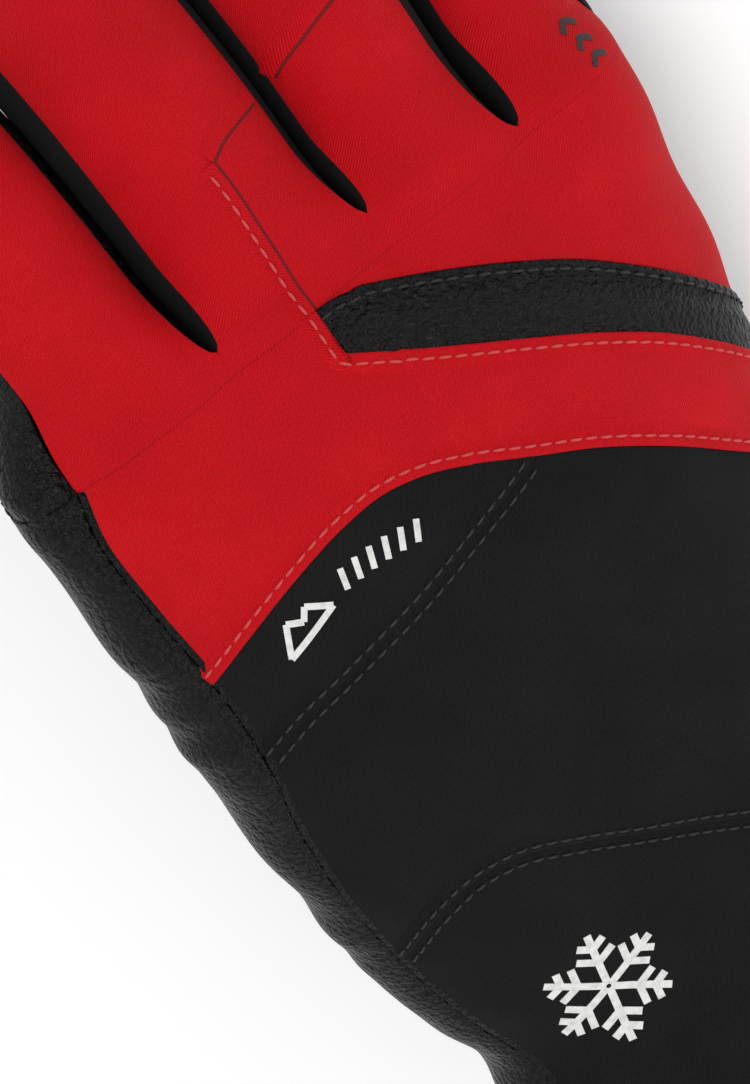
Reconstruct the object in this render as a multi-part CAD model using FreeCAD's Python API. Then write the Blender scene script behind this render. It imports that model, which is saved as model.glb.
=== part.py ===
import FreeCAD, Part
import math
import os
from FreeCAD import Placement, Rotation, Vector

# Right-hand insulated ski glove, size 9.  Millimetres.
# Everything is drawn in the hand frame (X to the little finger, Y to the fingertips,
# Z out of the back of the hand) and moved onto the floor by REST at the very end.

# ---- driving sizes -------------------------------------------------------------------
HAND_WIDTH = 117.0      # across the finger roots
HAND_LENGTH = 175.0     # cuff hem to finger crotches
FINGER_LENGTH = 71.0    # crotch to centre of the middle fingertip
SHELL = 1.0             # outer fabric or leather
GAP = 0.25              # air between neighbouring layers
FILL = 2.0              # insulation
FILM = 0.4              # waterproof membrane
LINING = 0.8            # inner lining
JOINT_GAP = 0.35        # between pieces that move against each other
FLEX_LIMIT = 45.0       # degrees each finger folds at the knuckle
STRAP_WIDTH = 18.0      # wrist strap, along the forearm
STRAP_THICK = 1.2
REST_ROLL = 23.52        # thumb side raised, degrees
REST_PITCH = 6.02        # fingertips raised, degrees
REST_X, REST_Y = -4.54, 10.4        # puts the origin under the middle of the glove

# ---- derived sizes -------------------------------------------------------------------
W = HAND_WIDTH / 117.0
CROTCH = 47.0
HEM = CROTCH - HAND_LENGTH
HINGE = 14.0 * W                    # knuckle line beyond the crotches
STRAIGHT = 9.0 * W                  # straight run after the knuckle
DROOP = 6.0                         # fingers leave the hand pointing down this much
CURL = 45.0                         # further bend out to the fingertip
INS0 = SHELL + GAP
FILM0 = INS0 + FILL + GAP
LIN0 = FILM0 + FILM + GAP
WALL = LIN0 + LINING
LAYERS = {"insulation": (INS0, INS0 + FILL), "membrane": (FILM0, FILM0 + FILM),
          "lining": (LIN0, WALL)}
SIDE_SEAM = 19.0 * W                # height of the seam between back and palm
TOP, LOW = 90.0 * W, -60.0 * W      # beyond the hand in height

# hand sections: place along the hand, thumb edge, little-finger edge, palm, back, power
CUFF_SIZE = (-56, 42, -3, 49, 2.2)
ROWS = [(y,) + CUFF_SIZE for y in (-140, -128, -118, -108, -98)]
ROWS += [(-89, -53.4, 38.9, -0.4, 45.9, 2.2), (-80, -51, 36, 2, 43, 2.2),
         (-62, -55, 38, 2, 42, 2.2), (-38, -58, 44, 1, 44, 2.3), (-12, -58.5, 51, 0, 45, 2.4),
         (20, -57.5, 56, 0, 42, 2.6), (47, -57, 59.5, 1, 34, 3.4), (56, -57, 60, 1, 31, 3.6)]
# fingers: root across and up, fan in degrees, radius, share of the middle finger's length
FINGERS = {"index": (-36.4, 17.0, -1.0, 15.2, 0.845), "middle": (-5.3, 18.2, 0.0, 14.9, 1.0),
           "ring": (23.6, 16.4, 1.0, 13.2, 0.90), "little": (48.3, 12.8, 3.0, 11.0, 0.66)}
THUMB_ROOT = Vector(-34.0 * W, -30.0, -14.6 * W)
THUMB_R, THUMB_LONG, THUMB_AIM = 13.8 * W, 47.0 * W, 22.0
NECK_R = 9.4 * W                    # collar through which the thumb enters


def along(y):
    return CROTCH + (y - CROTCH) * HAND_LENGTH / 175.0


def power(v, n):
    return math.copysign(abs(v) ** (2.0 / n), v)


def ring(row, off):
    """Closed outline of the hand at one section, moved inwards by off."""
    y, left, right, low, high, n = row
    wide, deep = (right - left) / 2 * W - off, (high - low) / 2 * W - off
    mid, level = (left + right) / 2 * W, (low + high) / 2 * W
    pts = []
    for i in range(28):
        a = 2 * math.pi * i / 28
        pts.append(Vector(mid - wide * power(math.cos(a), n), along(y),
                          level + deep * power(math.sin(a), n)))
    curve = Part.BSplineCurve()
    curve.interpolate(pts, PeriodicFlag=True)
    return Part.Wire(curve.toShape())


def block(x0, x1, y0, y1, z0, z1):
    return Part.makeBox(x1 - x0, y1 - y0, z1 - z0, Vector(x0, y0, z0))


def hand(off):
    return Part.makeLoft([ring(r, off) for r in ROWS], True, False)


def hand_shell(off0, off1, y0, y1):
    return hand(off0).common(block(-150, 150, y0, y1, LOW, TOP)).cut(hand(off1))


def region(points, corners, z0, z1):
    """Upright prism with one curved side through points and straight sides through corners."""
    pts = [Vector(x * W, along(y), z0) for x, y in points]
    curve = Part.BSplineCurve()
    curve.interpolate(pts)
    far = [Vector(x * W, along(y), z0) for x, y in corners]
    loop = [pts[-1]] + far + [pts[0]]
    edges = [curve.toShape()] + [Part.makeLine(a, b) for a, b in zip(loop, loop[1:])]
    return Part.Face(Part.Wire(edges)).extrude(Vector(0, 0, z1 - z0))


def biggest(shape):
    solids = sorted(shape.Solids, key=lambda s: s.Volume)
    return solids[-1]


def rod(r, straight, bend_r, bend, back):
    """Round finger: straight run along Y, bend towards -Z, round tip."""
    base = Part.makeCylinder(r, straight + back, Vector(0, -back, 0), Vector(0, 1, 0))
    disc = Part.Face(Part.Wire(Part.makeCircle(r, Vector(0, straight, 0), Vector(0, 1, 0))))
    arc = disc.revolve(Vector(0, straight, -bend_r), Vector(1, 0, 0), -bend)
    b = math.radians(bend)
    end = Vector(0, straight + bend_r * math.sin(b), -bend_r * (1 - math.cos(b)))
    tip = Part.makeSphere(r, end, Vector(0, math.cos(b), -math.sin(b)), 0, 90, 360)
    return base.fuse([arc, tip]).removeSplitter()


def strip(r, half, straight, bend_r, bend, back):
    """Flat slab following the middle of a finger, used to cut out its side walls."""
    def face(y, z, ny, nz):
        up = Vector(0, -nz, ny) * half
        c, s = Vector(0, y, z), Vector(2 * r, 0, 0)
        return Part.Face(Part.makePolygon([c - s - up, c + s - up, c + s + up, c - s + up,
                                           c - s - up]))
    b = math.radians(bend)
    base = face(-back, 0, 1, 0).extrude(Vector(0, straight + back, 0))
    arc = face(straight, 0, 1, 0).revolve(Vector(0, straight, -bend_r), Vector(1, 0, 0), -bend)
    ahead = Vector(0, math.cos(b), -math.sin(b))
    end = face(straight + bend_r * math.sin(b), -bend_r * (1 - math.cos(b)),
               math.cos(b), -math.sin(b)).extrude(ahead * 2 * r)
    return base.fuse([arc, end])


parts = {}

# ---- back of the hand: one shell cut along its seams ---------------------------------
shell = hand_shell(0, SHELL, HEM, CROTCH)
back = shell.common(block(-150, 150, HEM - 5, CROTCH + 5, SIDE_SEAM, TOP))
palm = shell.cut(block(-150, 150, HEM - 5, CROTCH + 5, SIDE_SEAM, TOP))
Z0, Z1 = SIDE_SEAM - 5, TOP + 5

roll_seam = region([(-50, 70), (-50.5, 40), (-51, 12), (-53, -16), (-54, -45), (-47, -80),
                    (-51, -105), (-51, -150)], [(-90, -150), (-90, 70)], Z0, Z1)
red_edge = region([(-90, -4), (-60, 8), (-43, 15), (-22, 20), (-8, 19.4), (7, 11), (22, 0.5),
                   (37, -14), (50, -29), (80, -62)], [(80, -170), (-90, -170)], Z0, Z1)
upper_seam = region([(-90, -14), (-60, -5), (-44, 0), (-24, 3.5), (-2, 8), (20, 12), (80, 20)],
                    [(80, -170), (-90, -170)], Z0, Z1)
lower_seam = region([(-90, -62), (-53, -45), (-37, -39.3), (-21, -45), (4, -63), (30, -84),
                     (80, -125)], [(80, -170), (-90, -170)], Z0, Z1)
band_field = region([(-6.1, 39.2), (0.6, 34.7), (17.7, 24.7), (35, 11.3), (48.5, -3.9),
                     (56, -14), (80, -45)], [(80, 70), (-3.2, 70), (-3.2, 47), (-6, 44)], Z0, Z1)
band_top = region([(-20, 56), (-0.4, 46.9), (15.6, 38.5), (31, 28.2), (45.3, 13.6),
                   (56, -1), (80, -30)], [(80, -170), (-20, -170)], Z0, Z1)

parts["index_side_panel"] = back.common(roll_seam)
field = back.cut(roll_seam)
black = field.common(red_edge)
red = field.cut(red_edge)
parts["wrist_yoke"] = black.cut(upper_seam)
lower = black.common(upper_seam)
parts["cuff_back_panel"] = lower.common(lower_seam)
parts["wrist_panel"] = lower.cut(lower_seam)
banded = red.common(band_field)
parts["back_panel_main"] = red.cut(band_field)
parts["knuckle_band"] = banded.common(band_top)
parts["back_panel_outer"] = banded.cut(band_top)

# ---- palm side -----------------------------------------------------------------------
neck_hole = Part.makeCylinder(NECK_R + JOINT_GAP, 60 * W, THUMB_ROOT)
PALM_END, HEEL_END = along(-60), along(-98)
parts["palm_panel"] = palm.common(block(-150, 150, PALM_END, 200, LOW, TOP)).cut(neck_hole)
parts["heel_panel"] = palm.common(block(-150, 150, HEEL_END, PALM_END, LOW, TOP))
parts["cuff_under_panel"] = palm.common(block(-150, 150, HEM - 9, HEEL_END, LOW, TOP))

# ---- inner layers of the hand --------------------------------------------------------
neck_cut = Part.makeCylinder(NECK_R + JOINT_GAP, 30 * W, THUMB_ROOT)
for name, (a, b) in LAYERS.items():
    parts["hand_" + name] = hand_shell(a, b, HEM, CROTCH).cut(neck_cut)

# ---- pieces raised on the shell ------------------------------------------------------
raised = hand_shell(-GAP - 0.8, -GAP, HEM, CROTCH)
patch_area = region([(4, -52), (2, -20), (6, 20), (4, 40)], [(46, 40), (44, -10), (36, -52)],
                    LOW, SIDE_SEAM - 6 * W)
parts["palm_patch"] = raised.common(patch_area)
elastic_area = block(-150, 150, along(-88), along(-76), LOW, SIDE_SEAM - 2 * W)
parts["wrist_elastic"] = raised.common(elastic_area)
emblem_area = region([(-36, -84), (-40, -74), (-36, -63)], [(-22, -60), (-20, -80)], Z0, Z1)
parts["cuff_emblem"] = raised.common(emblem_area)
label_area = region([(-39, 10), (-35, 12.5), (-13, 15.5)], [(-12, 12), (-36, 5.5)], Z0, Z1)
parts["back_label"] = raised.common(label_area)

# ---- web plate with the four knuckle sleeves -----------------------------------------
FRONT = CROTCH + GAP
front_row = [r for r in ROWS if r[0] == 47][0]
outline = Part.Face(ring(front_row, 0))
plate = outline.extrude(Vector(0, 1.2, 0))
plate.translate(Vector(0, GAP, 0))


def finger_place(name):
    x, z, fan = FINGERS[name][:3]
    turn = Rotation(Vector(0, 0, 1), -fan).multiply(Rotation(Vector(1, 0, 0), -DROOP))
    root = Vector(x * W, CROTCH, z * W)
    return Placement(root + turn.multVec(Vector(0, HINGE, 0)), turn)


web = plate
holes = []
for name, (x, z, fan, r, share) in FINGERS.items():
    r *= W
    place = finger_place(name)
    back_run = HINGE - 1.0
    sleeve = Part.makeCylinder(r, back_run - JOINT_GAP, Vector(0, -back_run, 0), Vector(0, 1, 0))
    t = math.radians(FLEX_LIMIT)
    lift = JOINT_GAP + 0.1
    ay, az = -lift * math.cos(t), lift * math.sin(t)
    wedge = Part.Face(Part.makePolygon([Vector(-2 * r, 2, az), Vector(-2 * r, ay, az),
                      Vector(-2 * r, ay - 3 * r * math.sin(t), az - 3 * r * math.cos(t)),
                      Vector(-2 * r, 2, az - 3 * r), Vector(-2 * r, 2, az)]))
    sleeve = sleeve.cut(wedge.extrude(Vector(4 * r, 0, 0)))
    bore = Part.makeCylinder(r - WALL, 3 * HINGE, Vector(0, -2 * HINGE, 0), Vector(0, 1, 0))
    hollow = Part.makeCylinder(r - SHELL, back_run, Vector(0, 1.6 - HINGE, 0), Vector(0, 1, 0))
    sleeve = sleeve.cut(hollow)
    for s in (sleeve, bore):
        s.Placement = place
    web = web.fuse(sleeve)
    holes.append(bore)
parts["finger_web"] = web.cut(block(-150, 150, 0, FRONT, LOW, TOP))
for bore in holes:
    parts["finger_web"] = parts["finger_web"].cut(bore)

# ---- fingers -------------------------------------------------------------------------
for name, (x, z, fan, r, share) in FINGERS.items():
    r *= W
    place = finger_place(name)
    reach = FINGER_LENGTH * share - HINGE - STRAIGHT
    bend_r = reach / math.radians(CURL)
    skin = rod(r, STRAIGHT, bend_r, CURL, 0).cut(rod(r - SHELL, STRAIGHT, bend_r, CURL, 5))
    slab = strip(r, 0.42 * r, STRAIGHT, bend_r, CURL, 2)
    pieces = {"side_wall": biggest(skin.common(slab))}
    halves = sorted(skin.cut(slab).Solids, key=lambda s: s.CenterOfMass.z)
    pieces["palm"], pieces["back"] = halves[0], halves[-1]
    for layer, (a, b) in LAYERS.items():
        pieces[layer] = rod(r - a, STRAIGHT, bend_r, CURL, 0).cut(
            rod(r - b, STRAIGHT, bend_r, CURL, 5))
    for key, solid in pieces.items():
        solid = solid.copy()
        solid.Placement = place
        parts[name + "_" + key] = solid

# ---- thumb: ball root under the palm, swings about the upright through the ball ------
THUMB_BEND, THUMB_STRAIGHT = 24.0, 10.0 * W
thumb_bend_r = (THUMB_LONG - THUMB_STRAIGHT) / math.radians(THUMB_BEND)
flat = Rotation(Vector(0, 0, 1), -THUMB_AIM).multiply(Rotation(Vector(0, 1, 0), -90))
thumb_place = Placement(THUMB_ROOT, flat)
throat = Part.makeCylinder(NECK_R + JOINT_GAP, 40 * W, THUMB_ROOT)


def thumb(r):
    body = rod(r, THUMB_STRAIGHT, thumb_bend_r, THUMB_BEND, 0)
    body = body.fuse(Part.makeSphere(r, Vector(0, 0, 0), Vector(0, -1, 0), 0, 90, 360))
    body = body.removeSplitter()
    body.Placement = thumb_place
    return body


skin = thumb(THUMB_R).cut(thumb(THUMB_R - SHELL)).cut(throat)
UPPER = block(-150, 150, -150, 150, THUMB_ROOT.z + 0.35 * THUMB_R, TOP)
UNDER = block(-150, 150, -150, 150, LOW, THUMB_ROOT.z - 0.35 * THUMB_R)
parts["thumb_inner_face"] = skin.common(UPPER)
parts["thumb_outer_face"] = skin.common(UNDER)
parts["thumb_side_wall"] = skin.cut(UPPER).cut(UNDER)
for layer, (a, b) in LAYERS.items():
    parts["thumb_" + layer] = thumb(THUMB_R - a).cut(thumb(THUMB_R - b)).cut(throat)
low, high = THUMB_ROOT.z + 0.45 * THUMB_R, 9.0 * W
collar = Part.makeCylinder(NECK_R, high - low, Vector(THUMB_ROOT.x, THUMB_ROOT.y, low))
parts["thumb_collar"] = collar.cut(Part.makeCylinder(
    NECK_R - LINING, high - low, Vector(THUMB_ROOT.x, THUMB_ROOT.y, low)))

# ---- cuff: binding, strap, loop, clip -------------------------------------------------
cuff_row = [r for r in ROWS if r[0] == -128][0]


def cuff_band(off0, off1, y0, y1):
    ends = []
    for off in (off0, off1):
        prism = Part.Face(ring(cuff_row, off)).extrude(Vector(0, y1 - y0, 0))
        prism.translate(Vector(0, y0 - along(-128), 0))
        ends.append(prism)
    return ends[0].cut(ends[1])


BINDING, BINDING_LIP = 3.0, 0.6      # width along the arm, overhang past the wall
parts["cuff_binding"] = cuff_band(-BINDING_LIP, WALL + BINDING_LIP, HEM - GAP - BINDING, HEM - GAP)

S0 = HEM + 5.0
S1 = S0 + STRAP_WIDTH
PEEL_X, TAB_END = 10.0 * W, -34.0 * W
HOOK0 = GAP + 0.7 + JOINT_GAP       # underside of the hook patch above the cuff
TAB0 = HOOK0 + 0.6
row = cuff_row
cuff_mid, cuff_half = (row[1] + row[2]) / 2 * W, (row[2] - row[1]) / 2 * W
cuff_level, cuff_deep = (row[3] + row[4]) / 2 * W, (row[4] - row[3]) / 2 * W


def cuff_height(x, off):
    v = abs((x - cuff_mid) / (cuff_half + off)) ** row[5]
    return cuff_level + (cuff_deep + off) * (1 - v) ** (1 / row[5])


PEEL_Z = cuff_height(PEEL_X, TAB0 + STRAP_THICK / 2)
parts["strap_loop_patch"] = hand_shell(-GAP - 0.7, -GAP, S0 + 1, S1 - 1).common(
    block(TAB_END + 3, PEEL_X - 6, S0 - 1, S1 + 1, SIDE_SEAM, TOP))
parts["strap_hook_patch"] = hand_shell(-TAB0, -HOOK0, S0 + 2, S1 - 2).common(
    block(TAB_END + 5, PEEL_X - 8, S0 - 1, S1 + 1, SIDE_SEAM, TOP))
parts["strap_tab"] = hand_shell(-TAB0 - STRAP_THICK, -TAB0, S0, S1).common(
    block(TAB_END, PEEL_X, S0 - 1, S1 + 1, SIDE_SEAM, TOP))
parts["strap_pull"] = hand_shell(-TAB0 - STRAP_THICK - 1.0, -TAB0 + 0.5, S0 + 2, S1 - 2).common(
    block(TAB_END - 9 * W, TAB_END - 0.1, S0 - 1, S1 + 1, SIDE_SEAM, TOP))
parts["strap_anchor"] = hand_shell(-GAP - 1.3, -GAP, S0, S1).common(
    block(PEEL_X - 5, 80 * W, S0 - 1, S1 + 1, SIDE_SEAM + 19 * W, TOP))

# hanging loop of webbing at the middle of the hem, palm side
LOOP_WIDE, LOOP_LONG, LOOP_TALL, WEB = 8.0, 14.0, 11.0, 1.2
LOOP_ROOT = 0.4                     # sewn end of the loop
loop = block(-LOOP_WIDE / 2, LOOP_WIDE / 2, -LOOP_LONG, LOOP_ROOT, -1.0, LOOP_TALL)
loop = loop.cut(block(-LOOP_WIDE, LOOP_WIDE, WEB - LOOP_LONG, LOOP_ROOT - WEB,
                      WEB - 1.0, LOOP_TALL - WEB))
loop.translate(Vector(cuff_mid, HEM - BINDING - 2 * GAP - LOOP_ROOT,
                      cuff_level - cuff_deep + WALL * 0.3))
parts["hang_loop"] = loop

# pair clip: hook on a short web sewn to the thumb side of the cuff
CLIP_BAR, CLIP_HANG = 1.2, 7.0      # radius of its bar, degrees it hangs away from the cuff
CLIP_WIDE, CLIP_LONG, CLIP_THICK = 15.0, 30.0, 2.2
BAR_RAIL, HOOK_RAIL = 1.8, 2.6      # side rails beside the bar and beside the hook slot
BAR_SLOT, HOOK_SLOT, GATE = (-7.0, 9.0), (-25.0, -10.0), (-22.0, -15.0)
WEB_WIDE = 10.0
clip_z = cuff_level + 0.36 * cuff_deep
v = (abs(clip_z - cuff_level) / cuff_deep) ** row[5]
side_x = cuff_mid - cuff_half * (1 - v) ** (1 / row[5])
nx = -(abs(side_x - cuff_mid) / cuff_half) ** (row[5] - 1) / cuff_half
nz = (abs(clip_z - cuff_level) / cuff_deep) ** (row[5] - 1) / cuff_deep
n = Vector(nx, 0, nz)
n.normalize()
clip_y = (S0 + S1) / 2
web_r = CLIP_BAR + JOINT_GAP + 1.0
bar_at = Vector(side_x, clip_y, clip_z) + n * (GAP + 1.0 + web_r - 0.4)
base = hand_shell(-GAP - 1.0, -GAP, clip_y - WEB_WIDE / 2, clip_y + WEB_WIDE / 2).common(
    block(-80 * W, -40 * W, S0 - 1, S1 + 1, clip_z - 5.0, clip_z + 3.0))
ahead = Vector(0, 1, 0)
tube = Part.makeCylinder(web_r, WEB_WIDE, bar_at - ahead * (WEB_WIDE / 2), ahead)
bar_hole = Part.makeCylinder(CLIP_BAR + JOINT_GAP, 2 * WEB_WIDE, bar_at - ahead * WEB_WIDE, ahead)
parts["clip_web"] = base.fuse(tube).cut(bar_hole)
half, thick = CLIP_WIDE / 2, CLIP_THICK / 2
bar = Part.makeCylinder(CLIP_BAR, CLIP_WIDE - 2, ahead * (1 - half), ahead)
plate = block(-thick, thick, -half, half, -CLIP_LONG, CLIP_BAR)
for rail, (low, high) in ((BAR_RAIL, BAR_SLOT), (HOOK_RAIL, HOOK_SLOT)):
    plate = plate.cut(block(-CLIP_THICK, CLIP_THICK, rail - half, half - rail, low, high))
plate = plate.cut(block(-CLIP_THICK, CLIP_THICK, half - 1.5 * HOOK_RAIL, half + 1, *GATE))
clip = plate.fuse(bar)
clip.Placement = Placement(bar_at, Rotation(Vector(0, 1, 0), CLIP_HANG))
parts["pair_clip"] = clip

# ---- onto the floor: the thumb is the lowest piece of the tilted glove ---------------
tilt = Rotation(Vector(1, 0, 0), REST_PITCH).multiply(Rotation(Vector(0, 1, 0), REST_ROLL))
b = math.radians(THUMB_BEND)
thumb_tip = thumb_place.multVec(Vector(0, THUMB_STRAIGHT + thumb_bend_r * math.sin(b),
                                       -thumb_bend_r * (1 - math.cos(b))))
lift = THUMB_R - min(tilt.multVec(thumb_tip).z, tilt.multVec(THUMB_ROOT).z)
REST = Placement(Vector(REST_X * W, REST_Y, lift), tilt)
os.makedirs("parts", exist_ok=True)
for name, shape in parts.items():
    shape = biggest(shape).copy()
    shape.Placement = REST.multiply(shape.Placement)
    shape.exportStep("parts/" + name + ".step")
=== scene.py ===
import math
import bpy
import numpy as np
from mathutils import Matrix


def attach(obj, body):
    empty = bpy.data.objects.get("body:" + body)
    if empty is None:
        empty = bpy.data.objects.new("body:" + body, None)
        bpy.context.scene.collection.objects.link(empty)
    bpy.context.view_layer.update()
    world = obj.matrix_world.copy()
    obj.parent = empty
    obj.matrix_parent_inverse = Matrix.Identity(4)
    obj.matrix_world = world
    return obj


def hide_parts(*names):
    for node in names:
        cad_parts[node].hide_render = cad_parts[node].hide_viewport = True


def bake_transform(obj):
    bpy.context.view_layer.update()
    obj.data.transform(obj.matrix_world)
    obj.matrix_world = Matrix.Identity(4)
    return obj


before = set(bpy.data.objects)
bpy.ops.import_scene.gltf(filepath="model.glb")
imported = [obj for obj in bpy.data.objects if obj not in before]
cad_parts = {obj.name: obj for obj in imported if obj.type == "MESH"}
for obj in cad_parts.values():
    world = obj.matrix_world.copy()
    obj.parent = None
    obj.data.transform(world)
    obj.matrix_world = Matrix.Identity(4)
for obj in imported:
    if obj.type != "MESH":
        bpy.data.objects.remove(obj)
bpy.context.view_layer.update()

# ======================================================================================
# How the glove lies.  It is drawn in the hand's own frame, in millimetres (x to the
# little finger, y to the fingertips, z out of the back), then tipped onto its thumb,
# its smallest fingertip and the edge of its cuff.
ROLL, PITCH = math.radians(23.52), math.radians(6.02)
SHIFT = np.array([-4.54, 10.4, 22.238])
cr, sr, cp, sp = math.cos(ROLL), math.sin(ROLL), math.cos(PITCH), math.sin(PITCH)
TIP = np.array([[1, 0, 0], [0, cp, -sp], [0, sp, cp]]) @ np.array([[cr, 0, sr], [0, 1, 0],
                                                                    [-sr, 0, cr]])


def settle(p):
    """Hand frame in millimetres to the resting place in metres: turn by TIP, add SHIFT."""
    return (np.asarray(p, float) @ TIP.T + SHIFT) * 0.001


# ======================================================================================
# Studio: a pale floor, a camera looking down at the back of the hand with the fingers
# pointing to the upper left, and large soft lights.
scene = bpy.context.scene
scene.view_settings.view_transform = "Standard"
BACK = np.array([-0.1795, 0.4241, 1.0])
BACK /= np.linalg.norm(BACK)
side0 = np.cross([0, 1.0, 0], BACK)
side0 /= np.linalg.norm(side0)
up0 = np.cross(BACK, side0)
SPIN = math.radians(-35.83)
right = side0 * math.cos(SPIN) + up0 * math.sin(SPIN)
above = -side0 * math.sin(SPIN) + up0 * math.cos(SPIN)
LOOK_AT, STAND_OFF = np.array([-19.35, 14.87, 40.0]), 378.1
camera = bpy.data.objects.new("camera", bpy.data.cameras.new("camera"))
camera.data.lens, camera.data.sensor_width, camera.data.clip_start = 85.0, 36.0, 0.02
scene.collection.objects.link(camera)
turn = np.eye(4)
turn[:3, 0], turn[:3, 1], turn[:3, 2] = TIP @ right, TIP @ above, TIP @ BACK
turn[:3, 3] = settle(LOOK_AT + BACK * STAND_OFF)
camera.matrix_world = Matrix(turn.tolist())
scene.camera = camera

bpy.ops.mesh.primitive_plane_add(size=6.0, location=(0, 0, -0.0002))
floor = bpy.context.object
floor.name = "floor"
paper = bpy.data.materials.new("paper_floor")
paper.use_nodes = True
paper.node_tree.nodes["Principled BSDF"].inputs["Base Color"].default_value = (0.93, 0.93, 0.93, 1)
paper.node_tree.nodes["Principled BSDF"].inputs["Roughness"].default_value = 0.9
paper.node_tree.nodes["Principled BSDF"].inputs["Emission Color"].default_value = (1, 1, 1, 1)
paper.node_tree.nodes["Principled BSDF"].inputs["Emission Strength"].default_value = 0.20
floor.data.materials.append(paper)

world = bpy.data.worlds.new("studio")
scene.world = world
world.use_nodes = True
world.node_tree.nodes["Background"].inputs["Color"].default_value = (1, 1, 1, 1)
world.node_tree.nodes["Background"].inputs["Strength"].default_value = 0.50


def soft_light(name, place, target, size, watts):
    lamp = bpy.data.objects.new(name, bpy.data.lights.new(name, "AREA"))
    lamp.data.shape, lamp.data.size, lamp.data.energy = "DISK", size, watts
    way = settle(place) - settle(target)
    way /= np.linalg.norm(way)
    across = np.cross([0, 0, 1.0], way)
    across /= np.linalg.norm(across)
    m = np.eye(4)
    m[:3, 0], m[:3, 1], m[:3, 2], m[:3, 3] = across, np.cross(way, across), way, settle(place)
    lamp.matrix_world = Matrix(m.tolist())
    scene.collection.objects.link(lamp)


soft_light("key", (-420, 260, 620), (-10, 0, 30), 0.55, 2.6)
soft_light("fill", (430, -160, 520), (0, 0, 20), 0.7, 1.0)
soft_light("rim", (-120, -560, 260), (0, -40, 30), 0.5, 0.8)

# ======================================================================================
# Shape of the hand.  Each section across the hand is a superellipse; a point on it is
# named by q, the distance round the section from the top, and y along the hand.
ROWS = np.array([(-152, -56, 42, -3, 49, 2.2), (-140, -56, 42, -3, 49, 2.2),
                 (-128, -56, 42, -3, 49, 2.2), (-118, -56, 42, -3, 49, 2.2),
                 (-108, -56, 42, -3, 49, 2.2), (-98, -56, 42, -3, 49, 2.2),
                 (-89, -53.4, 38.9, -0.4, 45.9, 2.2), (-80, -51, 36, 2, 43, 2.2),
                 (-62, -55, 38, 2, 42, 2.2),
                 (-38, -58, 44, 1, 44, 2.3), (-12, -58.5, 51, 0, 45, 2.4),
                 (20, -57.5, 56, 0, 42, 2.6), (47, -57, 59.5, 1, 34, 3.4),
                 (56, -57, 60, 1, 31, 3.6), (64, -57, 60, 1, 29, 3.6)], float)
HEM, SPLIT = -128.0, 46.5


def sizes(y):
    """Cubic through ROWS at y: thumb edge, little-finger edge, palm, back, power."""
    y = np.asarray(y, float)
    ry = ROWS[:, 0]
    slope = np.gradient(ROWS[:, 1:], ry, axis=0)
    i = np.clip(np.searchsorted(ry, y, side="right") - 1, 0, len(ry) - 2)
    h = ry[i + 1] - ry[i]
    t = (y - ry[i]) / h
    f = (2 * t**3 - 3 * t**2 + 1, (t**3 - 2 * t**2 + t) * h, 3 * t**2 - 2 * t**3, (t**3 - t**2) * h)
    v = (f[0][..., None] * ROWS[i, 1:] + f[1][..., None] * slope[i]
         + f[2][..., None] * ROWS[i + 1, 1:] + f[3][..., None] * slope[i + 1])
    return [v[..., k] for k in range(5)]


def section(a, y, out=0.0):
    """Superellipse: x = middle - half width * c, z = level + half height * s, where c and s
    are the cosine and sine of a raised to 2 over the power; out widens both halves."""
    left, right_, low, high, n = sizes(y)
    c, s = np.cos(a), np.sin(a)
    c, s = np.sign(c) * np.abs(c) ** (2 / n), np.sign(s) * np.abs(s) ** (2 / n)
    x = (left + right_) / 2 - ((right_ - left) / 2 + out) * c
    z = (low + high) / 2 + ((high - low) / 2 + out) * s
    return np.stack([x, np.broadcast_to(y, x.shape), z], -1)


Y_STEP, Q_MAX = 3.0, 175
y_rows = np.arange(-150, 63.1, Y_STEP)
a_cols = np.linspace(-math.pi / 2, 1.5 * math.pi, 1441)
loops = section(a_cols[None], y_rows[:, None])
run = np.zeros(loops.shape[:2])
run[:, 1:] = np.cumsum(np.linalg.norm(np.diff(loops, axis=1), axis=2), axis=1)
start = [np.interp(0.0, l[360:1080, 0], r[360:1080]) for l, r in zip(loops, run)]
run -= np.array(start)[:, None]
q_cols = np.arange(-Q_MAX, Q_MAX + 1.0)
A_OF_Q = np.array([np.interp(q_cols, r, a_cols) for r in run])


def look_up(table, i, j):
    """Bilinear value of a table at fractional row i and column j."""
    i = np.clip(i, 0, table.shape[0] - 1.001)
    j = np.clip(j, 0, table.shape[1] - 1.001)
    i0, j0 = i.astype(int), j.astype(int)
    u, v = i - i0, j - j0
    return ((1 - u) * (1 - v) * table[i0, j0] + u * (1 - v) * table[i0 + 1, j0]
            + (1 - u) * v * table[i0, j0 + 1] + u * v * table[i0 + 1, j0 + 1])


def skin(q, y, out=0.0):
    """Point on the hand at distance q round the section and y along it, raised by out."""
    q, y = np.broadcast_arrays(np.asarray(q, float), np.asarray(y, float))
    a = look_up(A_OF_Q, (y - y_rows[0]) / Y_STEP, q + Q_MAX)
    return section(a, y, out)


def q_at(a, y):
    a, y = np.broadcast_arrays(np.asarray(a, float), np.asarray(y, float))
    return look_up(run, (y - y_rows[0]) / Y_STEP, (a - a_cols[0]) / (a_cols[1] - a_cols[0]))


def q_over(x, y):
    """Distance q of the point of the back straight above x."""
    x, y = np.broadcast_arrays(np.asarray(x, float), np.asarray(y, float))
    left, right_, low, high, n = sizes(y)
    v = np.clip(((left + right_) / 2 - x) / ((right_ - left) / 2), -0.9999, 0.9999)
    return q_at(np.arccos(np.sign(v) * np.abs(v) ** (n / 2)), y)


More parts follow.
